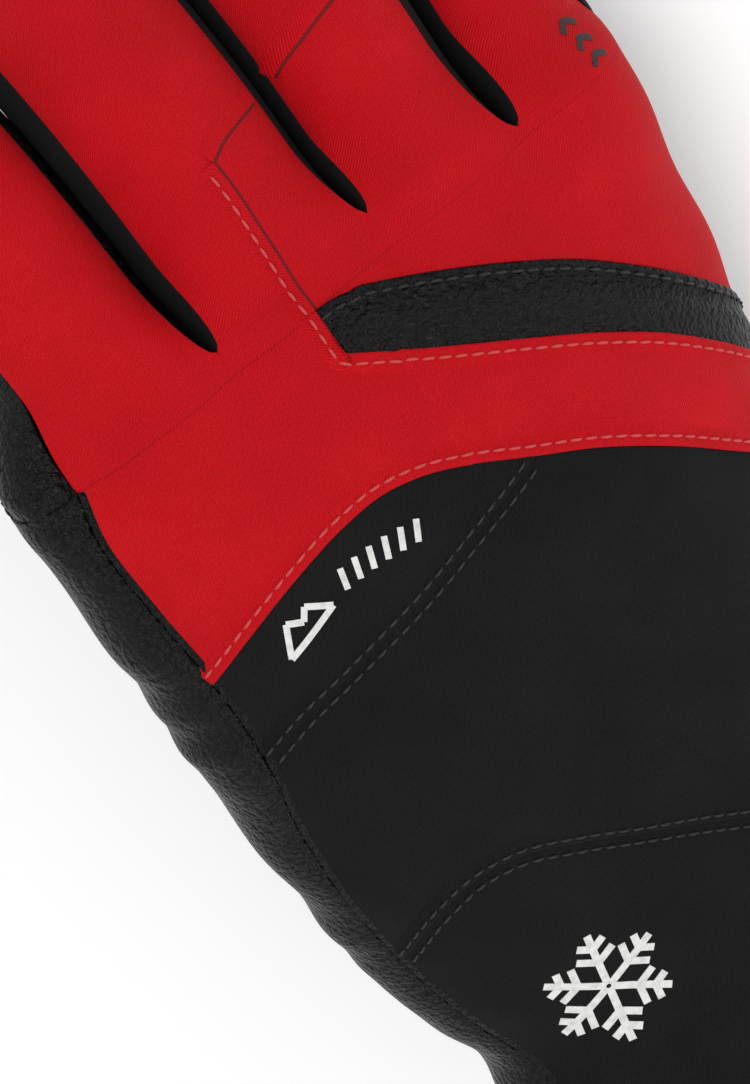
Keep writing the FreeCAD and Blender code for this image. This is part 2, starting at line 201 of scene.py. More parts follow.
def q_side(y, little, height=19.0):
    """Distance q of the side seam, at a set height, on the thumb or little-finger side."""
    left, right_, low, high, n = sizes(y)
    v = np.clip((height - (low + high) / 2) / ((high - low) / 2), -0.98, 0.98)
    a = np.arcsin(np.sign(v) * np.abs(v) ** (n / 2))
    return q_at(math.pi - a if little else a, y)


def line(points, n=160):
    """Smooth curve through points: cubic segments with centred slopes, evenly resampled."""
    p = np.asarray(points, float)
    t = np.concatenate([[0], np.cumsum(np.linalg.norm(np.diff(p, axis=0), axis=1))])
    m = np.gradient(p, t, axis=0) if len(p) > 2 else np.repeat((p[1:] - p[:1]) / t[-1], 2, 0)
    g = np.linspace(0, t[-1], 6 * n)
    i = np.clip(np.searchsorted(t, g, side="right") - 1, 0, len(t) - 2)
    h, u = (t[i + 1] - t[i])[:, None], ((g - t[i]) / (t[i + 1] - t[i]))[:, None]
    c = ((2 * u**3 - 3 * u**2 + 1) * p[i] + (u**3 - 2 * u**2 + u) * h * m[i]
         + (3 * u**2 - 2 * u**3) * p[i + 1] + (u**3 - u**2) * h * m[i + 1])
    d = np.concatenate([[0], np.cumsum(np.linalg.norm(np.diff(c, axis=0), axis=1))])
    e = np.linspace(0, d[-1], n)
    return np.stack([np.interp(e, d, c[:, k]) for k in range(c.shape[1])], -1)


def on_back(points, end_y=None, n=160):
    """Seam drawn as x, y on the back of the hand, turned into q, y; end_y carries it on to
    the side seam of the little finger."""
    p = np.asarray(points, float)
    q = np.stack([q_over(p[:, 0], p[:, 1]), p[:, 1]], -1)
    if end_y is not None:
        q = np.vstack([q, [q_side(np.array(end_y), True), end_y]])
    return line(q, n)


RED_EDGE = on_back([(-50.6, 11.8), (-42.7, 15.2), (-31.8, 18.6), (-22.2, 20.4), (-14.1, 20.6),
                    (-8.4, 19.2), (-1.3, 15.8), (6.8, 10.8), (16.4, 4.8), (26, -3.0),
                    (37.5, -14.4), (46, -25)], -37.0)
YOKE_SEAM = on_back([(-50.9, -3.2), (-44.3, -0.4), (-34.4, 1.9), (-24.2, 3.6), (-12.9, 5.9),
                     (-1.5, 8.2), (7.2, 10.3)])
CUFF_SEAM = on_back([(-53.2, -46.4), (-45.1, -41.2), (-37, -39.3), (-29.8, -40.3), (-21.4, -45),
                     (-12.8, -51), (-3.9, -57.3), (3.7, -63), (14, -70), (28, -80)], -88.0)
BAND_LOW = on_back([(-6.1, 39.4), (0.6, 35.0), (8.4, 30.0), (17.7, 24.2), (27, 17.9),
                    (35.1, 11.3), (42.1, 4), (48.5, -3.9)], -15.0)
BAND_TOP = on_back([(-5.4, 46.5), (-2.6, 46.3), (0.4, 45.6), (7.7, 42.6), (15.6, 38.5), (23.5, 33.7),
                    (31.2, 28.2), (38.7, 21), (45.3, 13.6), (51.4, 5.5)], -4.0)
BAND_END = on_back([(-6.1, 39.4), (-5.8, 42.6), (-5.4, 46.5)])
ROLL_SEAM = on_back([(-48.9, 46.5), (-50.9, 38.5), (-51.1, 26.4), (-50.6, 11.8), (-51.5, -3),
                     (-53.8, -16.4), (-54.7, -32.6), (-53.9, -46), (-50, -66), (-46.6, -80), (-49, -94),
                     (-51.5, -110), (-51.5, HEM)], n=260)
TRUE_SEAMS = [RED_EDGE, YOKE_SEAM, CUFF_SEAM, BAND_LOW, BAND_TOP, BAND_END, ROLL_SEAM]
seam_dots = np.vstack(TRUE_SEAMS)
rng = np.random.default_rng(11)
WAVES = np.stack([rng.uniform(14, 46, 26), rng.uniform(0, 2 * math.pi, 26),
                  rng.uniform(0, 2 * math.pi, 26), rng.uniform(0.03, 0.11, 26)])


def ripple(u, v):
    """Soft unevenness: a sum of slanted sines of chosen lengths, turns and phases."""
    h = np.zeros(np.broadcast(u, v).shape)
    for length, turn_, phase, high in WAVES.T:
        h = h + high * np.sin((u * math.cos(turn_) + v * math.sin(turn_)) * 2 * math.pi / length
                              + phase)
    return h


def near_seam(q, y, dots):
    """Distance from each point to the nearest dot of the seams."""
    p = np.stack([np.ravel(q), np.ravel(y)], -1)
    best = np.full(len(p), 1e9)
    for k in range(0, len(dots), 60):
        d = np.linalg.norm(p[:, None] - dots[None, k:k + 60], axis=2).min(1)
        best = np.minimum(best, d)
    return best.reshape(np.shape(q))


def ease(t):
    t = np.clip(t, 0, 1)
    return t * t * (3 - 2 * t)


def puff(q, y):
    """Padding: the cloth swells away from the seams, ripples, gathers at the wrist and lies
    flat under the strap."""
    q, y = np.broadcast_arrays(np.asarray(q, float), np.asarray(y, float))
    d = near_seam(q, y, seam_dots)
    fade = 1 - np.exp(-(d / 5.5) ** 2)
    gather = np.exp(-((y + 79) / 7.5) ** 2)
    folds = gather * (0.9 * np.sin(q / 2.6 + 0.6 * np.sin(y / 5)) * (0.5 + 0.5 * np.sin(q / 13 + 1)))
    strapped = 1 - ease((y + 129) / 4) * ease((-99 - y) / 4)
    return (0.85 * fade + ripple(q, y) * (0.35 + 0.65 * fade) + folds * fade) * strapped


SLOTS = [(-20.7, -0.5, 3.4), (10.0, 0.5, 5.8), (37.05, 2.0, 1.6)]


def valley(x, y):
    """Dip that leads the hand into each finger slot: a bell across, easing in along."""
    v = 0
    for at, fan, _ in SLOTS:
        at = at + (y - 47) * math.tan(math.radians(fan))
        t = np.clip((y - 36) / 14, 0, 1)
        v = v + 1.5 * np.exp(-((x - at) / 5.0) ** 2) * t * t * (3 - 2 * t)
    return v


def grown(q, y, out=0.0):
    """The padded skin of the hand."""
    return skin(q, y, out + puff(q, y) - valley(skin(q, y)[..., 0], y))


# ======================================================================================
# Making a piece.  A grid of points becomes a closed sheet of cloth with a wall, given in
# the hand frame; its weave map is in millimetres along the cloth.
def grid_normals(p):
    """Cross product of the two grid directions, unit length; degenerate points copy the mean."""
    n = np.cross(np.gradient(p, axis=1), np.gradient(p, axis=0))
    size = np.linalg.norm(n, axis=2, keepdims=True)
    mean = n.reshape(-1, 3).sum(0)
    n = np.where(size > 1e-9, n / np.maximum(size, 1e-9), mean / max(np.linalg.norm(mean), 1e-9))
    return n


def edge_gap(p):
    """Distance of each grid point to the nearest border, along the grid."""
    def one(axis):
        step = np.linalg.norm(np.diff(p, axis=axis), axis=2)
        lead = np.zeros_like(np.take(step, [0], axis=axis))
        d = np.concatenate([lead, np.cumsum(step, axis=axis)], axis=axis)
        return np.minimum(d, np.take(d, [-1], axis=axis) - d)
    return np.minimum(one(0), one(1))


def make_object(name, verts, faces, uv, material, flat_from=None):
    mesh = bpy.data.meshes.new(name)
    mesh.vertices.add(len(verts))
    mesh.vertices.foreach_set("co", settle(verts).astype(np.float32).ravel())
    k = faces.shape[1]
    mesh.loops.add(faces.size)
    mesh.loops.foreach_set("vertex_index", faces.astype(np.int32).ravel())
    mesh.polygons.add(len(faces))
    mesh.polygons.foreach_set("loop_start", np.arange(0, faces.size, k, dtype=np.int32))
    smooth = np.ones(len(faces), bool)
    if flat_from:
        smooth[flat_from:] = False
    mesh.polygons.foreach_set("use_smooth", smooth)
    layer = mesh.uv_layers.new(name="weave")
    layer.data.foreach_set("uv", uv[faces.ravel()].astype(np.float32).ravel())
    mesh.update(calc_edges=True)
    mesh.validate()
    obj = bpy.data.objects.new(name, mesh)
    scene.collection.objects.link(obj)
    mesh.materials.append(material)
    return obj


def sheet(name, p, material, thick=0.7, uv=None, lip=0.0, loop=False):
    """Closed sheet: the grid, the same grid set back by thick along its normals, and a rim.
    Rows run along the glove, columns round it, so the cross product points outwards.
    lip rounds the border over that distance; loop gives the first and last column one shared normal."""
    if uv is None:
        du = np.linalg.norm(np.diff(p, axis=1), axis=2)
        dv = np.linalg.norm(np.diff(p, axis=0), axis=2)
        u = np.concatenate([np.zeros((len(p), 1)), np.cumsum(du, 1)], 1)
        v = np.concatenate([np.zeros((1, p.shape[1])), np.cumsum(dv, 0)], 0)
        uv = np.stack([u - u.mean(1, keepdims=True), v], -1)
    n = grid_normals(p)
    if loop:
        ends = n[:, 0] + n[:, -1]
        n[:, 0] = n[:, -1] = ends / np.maximum(np.linalg.norm(ends, axis=1, keepdims=True), 1e-9)
    if lip:
        t = np.clip(edge_gap(p) / lip, 0, 1)
        p = p - n * (thick * 0.85 * (1 - np.sqrt(1 - (1 - t) ** 2)))[..., None]
    base = p - n * thick if not lip else p - n * (thick * 0.15 + thick * 0.85 * np.sqrt(
        1 - (1 - t) ** 2))[..., None]
    r, c = p.shape[:2]
    verts = np.concatenate([p.reshape(-1, 3), base.reshape(-1, 3)])
    ids = np.arange(r * c).reshape(r, c)
    a, b, d, e = ids[:-1, :-1], ids[:-1, 1:], ids[1:, 1:], ids[1:, :-1]
    top = np.stack([a, b, d, e], -1).reshape(-1, 4)
    low = top[:, ::-1] + r * c
    border = np.concatenate([ids[0, :], ids[1:, -1], ids[-1, -2::-1], ids[-2::-1, 0]])
    nxt = border[1:]
    cur = border[:-1]
    rim = np.stack([cur, cur + r * c, nxt + r * c, nxt], -1)
    faces = np.concatenate([top, low, rim])
    flat = np.concatenate([uv.reshape(-1, 2)] * 2)
    return make_object(name, verts, faces, flat, material, len(top) + len(low))


def between(low, high, rows):
    """Grid of q, y between two curves, straight across from one to the other."""
    t = np.linspace(0, 1, rows)[:, None, None]
    return low[None] * (1 - t) + high[None] * t


def to_seams(g, left=True, right_=True):
    """Pull the ends of a panel's grid onto the roll seam and the little-finger side seam."""
    t = np.linspace(0, 1, g.shape[1])[None]
    q, y = g[..., 0], g[..., 1]
    if left:
        goal = np.interp(y[:, :1], ROLL_SEAM[::-1, 1], ROLL_SEAM[::-1, 0])
        q = q + (goal - q[:, :1]) * np.clip(1 - t / 0.3, 0, 1) ** 2
    if right_:
        q = q + (q_side(y[:, -1:], True) - q[:, -1:]) * np.clip(1 - (1 - t) / 0.3, 0, 1) ** 2
    return np.stack([q, y], -1)


def even(points, n):
    """Polyline cut into n equal steps, corners kept."""
    d = np.concatenate([[0], np.cumsum(np.linalg.norm(np.diff(points, axis=0), axis=1))])
    e = np.linspace(0, d[-1], n)
    return np.stack([np.interp(e, d, points[:, k]) for k in range(2)], -1)


def place(piece, body, slot, *nodes):
    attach(piece, body)
    if nodes:
        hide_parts(*nodes)
    return piece


# ======================================================================================
# Cloths.  Red and black shell cloth are both a fine twill: slanted ribs a third of a
# millimetre apart, crossed by the weft, over a faint unevenness of the dye.
def tree_of(name):
    m = bpy.data.materials.new(name)
    m.use_nodes = True
    t = m.node_tree
    return m, t.nodes, t.links, t.nodes["Principled BSDF"]


def node(nodes, kind, **values):
    n = nodes.new(kind)
    for key, value in values.items():
        if key in n.inputs:
            n.inputs[key].default_value = value
        else:
            setattr(n, key, value)
    return n


def ramp(nodes, links, source, stops):
    r = nodes.new("ShaderNodeValToRGB")
    e = r.color_ramp.elements
    e[0].position, e[0].color = stops[0][0], (*stops[0][1], 1)
    e[1].position, e[1].color = stops[-1][0], (*stops[-1][1], 1)
    for pos, colour in stops[1:-1]:
        e.new(pos).color = (*colour, 1)
    links.new(source, r.inputs[0])
    return r.outputs[0]


def twill(name, dark, mid, light, rib, rough, sheen, depth, slant=52.0, specular=0.3):
    """Twill: sine ribs along a slant times sine weft, lit by bump and tinted by a ramp."""
    m, nodes, links, skin_ = tree_of(name)
    uv = node(nodes, "ShaderNodeUVMap", uv_map="weave")
    wob = node(nodes, "ShaderNodeTexNoise", Scale=0.9, Detail=3.0)
    links.new(uv.outputs[0], wob.inputs["Vector"])
    bend = node(nodes, "ShaderNodeVectorMath", operation="MULTIPLY_ADD")
    bend.inputs[1].default_value = (0.10, 0.10, 0.0)
    links.new(wob.outputs["Color"], bend.inputs[0])
    links.new(uv.outputs[0], bend.inputs[2])
    waves = []
    for turn_, size in ((slant, rib), (slant - 78.0, rib * 0.86)):
        way = node(nodes, "ShaderNodeMapping")
        way.inputs["Rotation"].default_value = (0, 0, math.radians(turn_))
        links.new(bend.outputs[0], way.inputs[0])
        w = node(nodes, "ShaderNodeTexWave", Scale=0.31416 / size, Distortion=0.4, Detail=1.0)
        w.inputs["Detail Scale"].default_value = 2.0
        links.new(way.outputs[0], w.inputs["Vector"])
        waves.append(w.outputs["Fac"])
    mix = node(nodes, "ShaderNodeMath", operation="MULTIPLY_ADD")
    links.new(waves[1], mix.inputs[0])
    mix.inputs[1].default_value = 0.45
    links.new(waves[0], mix.inputs[2])
    cloud = node(nodes, "ShaderNodeTexNoise", Scale=0.045, Detail=4.0, Roughness=0.6)
    links.new(uv.outputs[0], cloud.inputs["Vector"])
    fuzz = node(nodes, "ShaderNodeTexNoise", Scale=2.6, Detail=2.0)
    links.new(uv.outputs[0], fuzz.inputs["Vector"])
    tone = node(nodes, "ShaderNodeMath", operation="MULTIPLY_ADD")
    links.new(mix.outputs[0], tone.inputs[0])
    tone.inputs[1].default_value = 0.30
    shade = node(nodes, "ShaderNodeMath", operation="MULTIPLY_ADD")
    links.new(cloud.outputs["Fac"], shade.inputs[0])
    shade.inputs[1].default_value = 0.55
    grit = node(nodes, "ShaderNodeMath", operation="MULTIPLY_ADD")
    links.new(fuzz.outputs["Fac"], grit.inputs[0])
    grit.inputs[1].default_value = 0.60
    grit.inputs[2].default_value = -0.30
    links.new(grit.outputs[0], shade.inputs[2])
    links.new(shade.outputs[0], tone.inputs[2])
    links.new(ramp(nodes, links, tone.outputs[0], [(0.15, dark), (0.5, mid), (0.85, light)]),
              skin_.inputs["Base Color"])
    raise_ = node(nodes, "ShaderNodeBump", Strength=0.75, Distance=depth)
    links.new(mix.outputs[0], raise_.inputs["Height"])
    links.new(raise_.outputs[0], skin_.inputs["Normal"])
    skin_.inputs["Roughness"].default_value = rough
    skin_.inputs["Sheen Weight"].default_value = sheen
    skin_.inputs["Sheen Roughness"].default_value = 0.45
    skin_.inputs["Specular IOR Level"].default_value = specular
    return m


RED = twill("red_shell_twill", (0.40, 0.0010, 0.004), (0.575, 0.0022, 0.0075), (0.72, 0.008, 0.017),
            0.38, 0.66, 0.02, 0.00012, specular=0.12)
BLACK = twill("black_softshell", (0.004, 0.004, 0.0045), (0.0085, 0.0085, 0.009),
              (0.016, 0.016, 0.017), 0.34, 0.78, 0.02, 0.00006, slant=40.0, specular=0.10)


# ======================================================================================
# Folded edges and stitching.  Where two panels meet, the upper one is turned under and
# sewn down, so its edge stands up half a millimetre with a row of stitches beside it.
def frame_on(surface, path):
    """Point and outward normal of a surface along a path."""
    e = 0.05
    p = surface(path[:, 0], path[:, 1])
    a = (surface(path[:, 0] + e, path[:, 1]) - p) / e
    b = (surface(path[:, 0], path[:, 1] + e) - p) / e
    n = np.cross(a, b)
    return p, n / np.linalg.norm(n, axis=1, keepdims=True)


def beside(path, gap):
    """The path moved sideways, to its left, by gap."""
    t = np.gradient(path, axis=0)
    t /= np.maximum(np.linalg.norm(t, axis=1, keepdims=True), 1e-9)
    return path + gap * np.stack([-t[:, 1], t[:, 0]], -1)


FOLD = np.array([(3.4, -0.30), (3.0, -0.02), (2.3, 0.14), (1.5, 0.30), (0.8, 0.42), (0.35, 0.44),
                 (0.05, 0.36), (-0.10, 0.16), (-0.12, -0.10), (0.0, -0.45), (1.6, -0.50)])


def fold(name, surface, path, material, high=1.0, wide=1.0, pitch=2.5):
    """Turned edge: the FOLD profile, width to the left of the path and height over the
    surface, carried along the path and gently pinched at every stitch."""
    rings = []
    along = np.concatenate([[0], np.cumsum(np.linalg.norm(np.diff(path, axis=0), axis=1))])
    pinch = 1 + 0.10 * np.cos(2 * math.pi * along / pitch) + 0.06 * np.sin(along / 5.3)
    for w, h in FOLD:
        p, n = frame_on(surface, beside(path, w * wide))
        rings.append(p + n * (h * high * np.where(h > 0, pinch, 1.0))[:, None])
    p = np.stack(rings, 1)
    uv = np.stack([np.broadcast_to(FOLD[:, 0] * wide, p.shape[:2]),
                   np.broadcast_to(along[:, None], p.shape[:2])], -1)
    r, c = p.shape[:2]
    ids = np.arange(r * c).reshape(r, c)
    a, b = ids[:-1], ids[1:]
    side = np.stack([a, b, np.roll(b, -1, 1), np.roll(a, -1, 1)], -1).reshape(-1, 4)
    verts, flat = p.reshape(-1, 3), uv.reshape(-1, 2)
    mids = np.array([p[0].mean(0), p[-1].mean(0)])
    verts = np.vstack([verts, mids])
    flat = np.vstack([flat, uv[0].mean(0), uv[-1].mean(0)])
    first, last = ids[0], ids[-1]
    cap0 = np.stack([first, np.roll(first, -1), np.full(c, r * c), np.full(c, r * c)], -1)
    cap1 = np.stack([np.roll(last, -1), last, np.full(c, r * c + 1), np.full(c, r * c + 1)], -1)
    tris = np.concatenate([cap0, cap1])[:, :3]
    faces = np.concatenate([np.concatenate([side[:, [0, 1, 2]], side[:, [0, 2, 3]]]), tris])
    return make_object(name, verts, faces, flat, material)


def thread_material(name, dark, light, rough=0.55):
    """Sewing thread: twisted strands as fine slanted bands, lighter on the crown."""
    m, nodes, links, skin_ = tree_of(name)
    where = node(nodes, "ShaderNodeUVMap", uv_map="weave")
    w = node(nodes, "ShaderNodeTexWave", Scale=1.6, Distortion=0.5, bands_direction="DIAGONAL")
    links.new(where.outputs[0], w.inputs["Vector"])
    links.new(ramp(nodes, links, w.outputs["Fac"], [(0.2, dark), (0.8, light)]),
              skin_.inputs["Base Color"])
    b = node(nodes, "ShaderNodeBump", Strength=0.6, Distance=0.00005)
    links.new(w.outputs["Fac"], b.inputs["Height"])
    links.new(b.outputs[0], skin_.inputs["Normal"])
    skin_.inputs["Roughness"].default_value = rough
    return m


RED_THREAD = thread_material("red_thread", (0.55, 0.025, 0.03), (0.85, 0.11, 0.10))
BLACK_THREAD = thread_material("black_thread", (0.004, 0.004, 0.004), (0.028, 0.028, 0.030), 0.45)


def stitches(name, rows, material, pitch=2.5, long=1.95, thick=0.23):
    """Row of stitches: each is a six-sided spindle laid along the path, its middle raised
    and its ends drawn into the cloth.  rows is a list of points with outward normals."""
    prof = np.array([(-0.5, 0.35, -0.9), (-0.42, 0.8, 0.0), (-0.2, 1.05, 0.75), (0.0, 1.1, 0.9),
                     (0.2, 1.05, 0.75), (0.42, 0.8, 0.0), (0.5, 0.35, -0.9)])
    turn_ = np.arange(6) * math.pi / 3
    verts, faces, flat, base = [], [], [], 0
    for p, n in rows:
        d = np.concatenate([[0], np.cumsum(np.linalg.norm(np.diff(p, axis=0), axis=1))])
        at = np.arange(pitch * 0.5, d[-1] - pitch * 0.3, pitch)
        c = np.stack([np.interp(at, d, p[:, k]) for k in range(3)], -1)
        up = np.stack([np.interp(at, d, n[:, k]) for k in range(3)], -1)
        up /= np.linalg.norm(up, axis=1, keepdims=True)
        g = np.gradient(p, axis=0)
        t = np.stack([np.interp(at, d, g[:, k]) for k in range(3)], -1)
        t /= np.linalg.norm(t, axis=1, keepdims=True)
        s = np.cross(up, t)
        t = t + 0.05 * s
        ring = (prof[:, None, 0, None] * long * t[:, None, None]
                + (prof[:, None, 1] * np.cos(turn_))[None, ..., None] * thick * s[:, None, None]
                + (prof[:, None, 1] * np.sin(turn_) * 0.8 + prof[:, None, 2] * 0.55)[None, ..., None]
                * thick * up[:, None, None]) + c[:, None, None]
        k = len(at)
        ids = base + np.arange(k * 42).reshape(k, 7, 6)
        a, b = ids[:, :-1], ids[:, 1:]
        body = np.stack([a, np.roll(a, -1, 2), np.roll(b, -1, 2), b], -1).reshape(-1, 4)
        tris = [body[:, [0, 1, 2]], body[:, [0, 2, 3]]]
        for e, flip in ((0, 1), (6, 0)):
            r = ids[:, e]
            fan = np.stack([np.repeat(r[:, :1], 4, 1), r[:, 1:5], r[:, 2:6]], -1).reshape(-1, 3)
            tris.append(fan[:, ::-1] if flip else fan)
        verts.append(ring.reshape(-1, 3))
        faces.append(np.concatenate(tris))
        uv = np.stack(np.broadcast_arrays(at[:, None, None] + prof[None, :, None, 0] * long,
                                          turn_[None, None, :]), -1)
        flat.append(uv.reshape(-1, 2))
        base += k * 42
    return make_object(name, np.concatenate(verts), np.concatenate(faces), np.concatenate(flat),
                       material)


def row_on(surface, path, gap, lift=0.42):
    p, n = frame_on(surface, beside(path, gap))
    return p + n * lift, n


# ======================================================================================
# Back of the hand, red: the main panel from the wrist seam to the finger crotches and the
# smaller panel beyond the knuckle band.  Cut flat, pulled over the padding.
split_x = np.linspace(-48.9, -5.4, 80)
top_line = np.vstack([np.stack([q_over(split_x, SPLIT), np.full(80, SPLIT)], -1),
                      BAND_END[::-1], BAND_LOW[1:]])
g = to_seams(between(even(RED_EDGE, 260), even(top_line, 260), 90))
main = sheet("back_panel_red", grown(g[..., 0], g[..., 1]), RED, uv=g)
place(main, "glove", "red_shell", "back_panel_main")
split_x = np.linspace(-5.4, 57.9, 80)
split_line = np.stack([q_over(split_x, SPLIT), np.full(80, SPLIT)], -1)
side_y = np.linspace(SPLIT, -3.0, 60)[1:]
side_run = np.stack([q_side(side_y, True), side_y], -1)
g = between(even(BAND_TOP, 240), even(np.vstack([split_line, side_run]), 240), 80)
outer = sheet("back_panel_red_outer", grown(g[..., 0], g[..., 1]), RED, uv=g)
place(outer, "glove", "red_shell", "back_panel_outer")

# ======================================================================================
# Wrist and cuff back, black softshell: a triangular yoke, the wrist panel below it and the
# cuff panel down to the hem.
meet = int(np.argmin(np.linalg.norm(RED_EDGE - YOKE_SEAM[-1], axis=1)))
g = to_seams(between(even(YOKE_SEAM, 150), even(RED_EDGE[:meet + 1], 150), 40), right_=False)
yoke = sheet("wrist_yoke_cloth", grown(g[..., 0], g[..., 1]), BLACK, uv=g)
place(yoke, "glove", "black_softshell", "wrist_yoke")
wrist_top = even(np.vstack([YOKE_SEAM[:-1], RED_EDGE[meet + 1:]]), 240)
g = to_seams(between(even(CUFF_SEAM, 240), wrist_top, 130))
wrist = sheet("wrist_panel_cloth", grown(g[..., 0], g[..., 1]), BLACK, uv=g)
place(wrist, "glove", "black_softshell", "wrist_panel")
hem_q = np.linspace(ROLL_SEAM[-1, 0], float(q_side(np.array(HEM), True)), 40)
g = to_seams(between(even(np.stack([hem_q, np.full(40, HEM)], -1), 240), even(CUFF_SEAM, 240), 120))
cuff = sheet("cuff_back_cloth", grown(g[..., 0], g[..., 1]), BLACK, uv=g)
place(cuff, "glove", "black_softshell", "cuff_back_panel")


# ======================================================================================
# Leather: goat skin with a pebbled grain about a millimetre across, finer pores between,
# and a soft sheen on the crowns.  The knuckle band, the roll along the thumb side and the
# palm are cut from it.
def leather_material(name, pebble, depth, rough, dark, light):
    m, nodes, links, skin_ = tree_of(name)
    where = node(nodes, "ShaderNodeTexCoord")
    wob = node(nodes, "ShaderNodeTexNoise", Scale=330.0, Detail=2.0)
    links.new(where.outputs["Object"], wob.inputs["Vector"])
    bend = node(nodes, "ShaderNodeVectorMath", operation="MULTIPLY_ADD")
    bend.inputs[1].default_value = (0.0009, 0.0009, 0.0009)
    links.new(wob.outputs["Color"], bend.inputs[0])
    links.new(where.outputs["Object"], bend.inputs[2])
    cells = node(nodes, "ShaderNodeTexVoronoi", feature="SMOOTH_F1", Scale=1.0 / pebble,
                 Smoothness=0.35)
    fine = node(nodes, "ShaderNodeTexVoronoi", feature="SMOOTH_F1", Scale=2.3 / pebble,
                Smoothness=0.3)
    for v in (cells, fine):
        links.new(bend.outputs[0], v.inputs["Vector"])
    pores = node(nodes, "ShaderNodeTexNoise", Scale=5200.0, Detail=2.0)
    links.new(where.outputs["Object"], pores.inputs["Vector"])
    mix = node(nodes, "ShaderNodeMath", operation="MULTIPLY_ADD")
    links.new(fine.outputs["Distance"], mix.inputs[0])
    mix.inputs[1].default_value = 0.42
    links.new(cells.outputs["Distance"], mix.inputs[2])
    mix2 = node(nodes, "ShaderNodeMath", operation="MULTIPLY_ADD")
    links.new(pores.outputs["Fac"], mix2.inputs[0])
    mix2.inputs[1].default_value = 0.10
    links.new(mix.outputs[0], mix2.inputs[2])
    bump = node(nodes, "ShaderNodeBump", Strength=1.0, Distance=depth, invert=True)
    links.new(mix2.outputs[0], bump.inputs["Height"])
    links.new(bump.outputs[0], skin_.inputs["Normal"])
    links.new(ramp(nodes, links, mix2.outputs[0], [(0.25, light), (0.8, dark)]),
              skin_.inputs["Base Color"])
    worn = node(nodes, "ShaderNodeTexNoise", Scale=60.0, Detail=3.0)
    links.new(where.outputs["Object"], worn.inputs["Vector"])
    gloss = node(nodes, "ShaderNodeMapRange")
    gloss.inputs["To Min"].default_value = rough - 0.10
    gloss.inputs["To Max"].default_value = rough + 0.14
    links.new(worn.outputs["Fac"], gloss.inputs["Value"])
    links.new(gloss.outputs[0], skin_.inputs["Roughness"])
    skin_.inputs["Specular IOR Level"].default_value = 0.20
    return m


LEATHER = leather_material("black_goat_leather", 0.00105, 0.00065, 0.36, (0.0018, 0.0018, 0.0020),
                           (0.0060, 0.0060, 0.0063))
g = to_seams(between(even(BAND_LOW, 220), even(BAND_TOP, 220), 36), left=False)
band = sheet("knuckle_band_leather", grown(g[..., 0], g[..., 1], 0.15), LEATHER, thick=0.9, uv=g)
place(band, "glove", "black_leather", "knuckle_band")



def roll_swell(t, y):
    """Padded roll: a belly across t with creases, sines of y bent by slower sines."""
    belly = np.sin(math.pi * np.clip(t, 0, 1)) ** 0.7
    creases = (0.42 * np.sin(y / 1.9 + 2.4 * np.sin(y / 8.3) + 2.2 * t)
               * (0.5 + 0.5 * np.sin(y / 7.1))
               + 0.30 * np.sin(y / 4.1 + 3.0 * t + 1.7 * np.sin(y / 17)))
    return (1.5 + creases * np.clip((y + 96) / 14, 0.25, 1)) * belly


roll_y = np.linspace(HEM, SPLIT, 330)
roll_q = np.interp(roll_y, ROLL_SEAM[::-1, 1], ROLL_SEAM[::-1, 0])
t = np.linspace(0, 1, 46)[None]
low_q = q_side(roll_y, False, 15.0)
q = low_q[:, None] * (1 - t) + roll_q[:, None] * t
y = np.broadcast_to(roll_y[:, None], q.shape)
roll = sheet("index_side_leather", skin(q, y, roll_swell(t, y)), LEATHER, thick=0.9,
             uv=np.stack([q, y], -1))
place(roll, "glove", "black_leather", "index_side_panel")

# Folded edges of the back, with their rows of stitching.
seam_row = []
f = fold("fold_red_wrist", grown, RED_EDGE, RED)
place(f, "glove", "red_shell")
seam_row.append(row_on(grown, RED_EDGE, 1.5))
corner = even(np.vstack([BAND_LOW[::-1], BAND_END[1:]]), 420)
corner[2:-2] = sum(corner[k:416 + k] for k in range(5)) / 5
f = fold("fold_red_band", grown, corner, RED)
place(f, "glove", "red_shell")
seam_row.append(row_on(grown, corner, 1.5))
place(stitches("stitches_red_back", seam_row, RED_THREAD), "glove", "red_shell")
f = fold("fold_band_leather", grown, BAND_TOP[::-1], LEATHER, high=1.15)
place(f, "glove", "black_leather")
f = fold("fold_yoke", grown, YOKE_SEAM, BLACK, high=0.7)
place(f, "glove", "black_softshell")
f = fold("fold_cuff", grown, CUFF_SEAM, BLACK, high=0.9)
place(f, "glove", "black_softshell")
black_rows = [row_on(grown, BAND_TOP[::-1], 1.4, 0.5), row_on(grown, YOKE_SEAM, 0.9, 0.36),
              row_on(grown, YOKE_SEAM, -1.3, 0.12), row_on(grown, CUFF_SEAM, 1.0, 0.40),
              row_on(grown, CUFF_SEAM, -1.6, 0.12)]
place(stitches("stitches_black_back", black_rows, BLACK_THREAD), "glove", "black_leather")
f = fold("fold_roll", grown, ROLL_SEAM, LEATHER, high=0.45, wide=0.4)
place(f, "glove", "black_leather")


# ======================================================================================
# Fingers.  Each is a padded tube with a red back, black side walls that run from one
# root round the tip to the other, and a leather palm side, all growing out of the hand.
FINGERS = {"index": (-36.4, 17.0, -1.0, 15.2, 60.0), "middle": (-5.3, 18.2, 0.0, 14.9, 71.0),
           "ring": (23.6, 16.4, 1.0, 13.2, 63.9), "little": (48.3, 12.8, 3.0, 11.0, 46.86)}
ROOTED, SLOT_RUN, EDGE, LITTLE_ROOT = 17.0, 9.0, 0.9075, 11.05
EDGES = {"index": (0.66, 0.90), "middle": (0.90, 0.90), "ring": (0.90, 0.82), "little": (0.82, 0.93)}


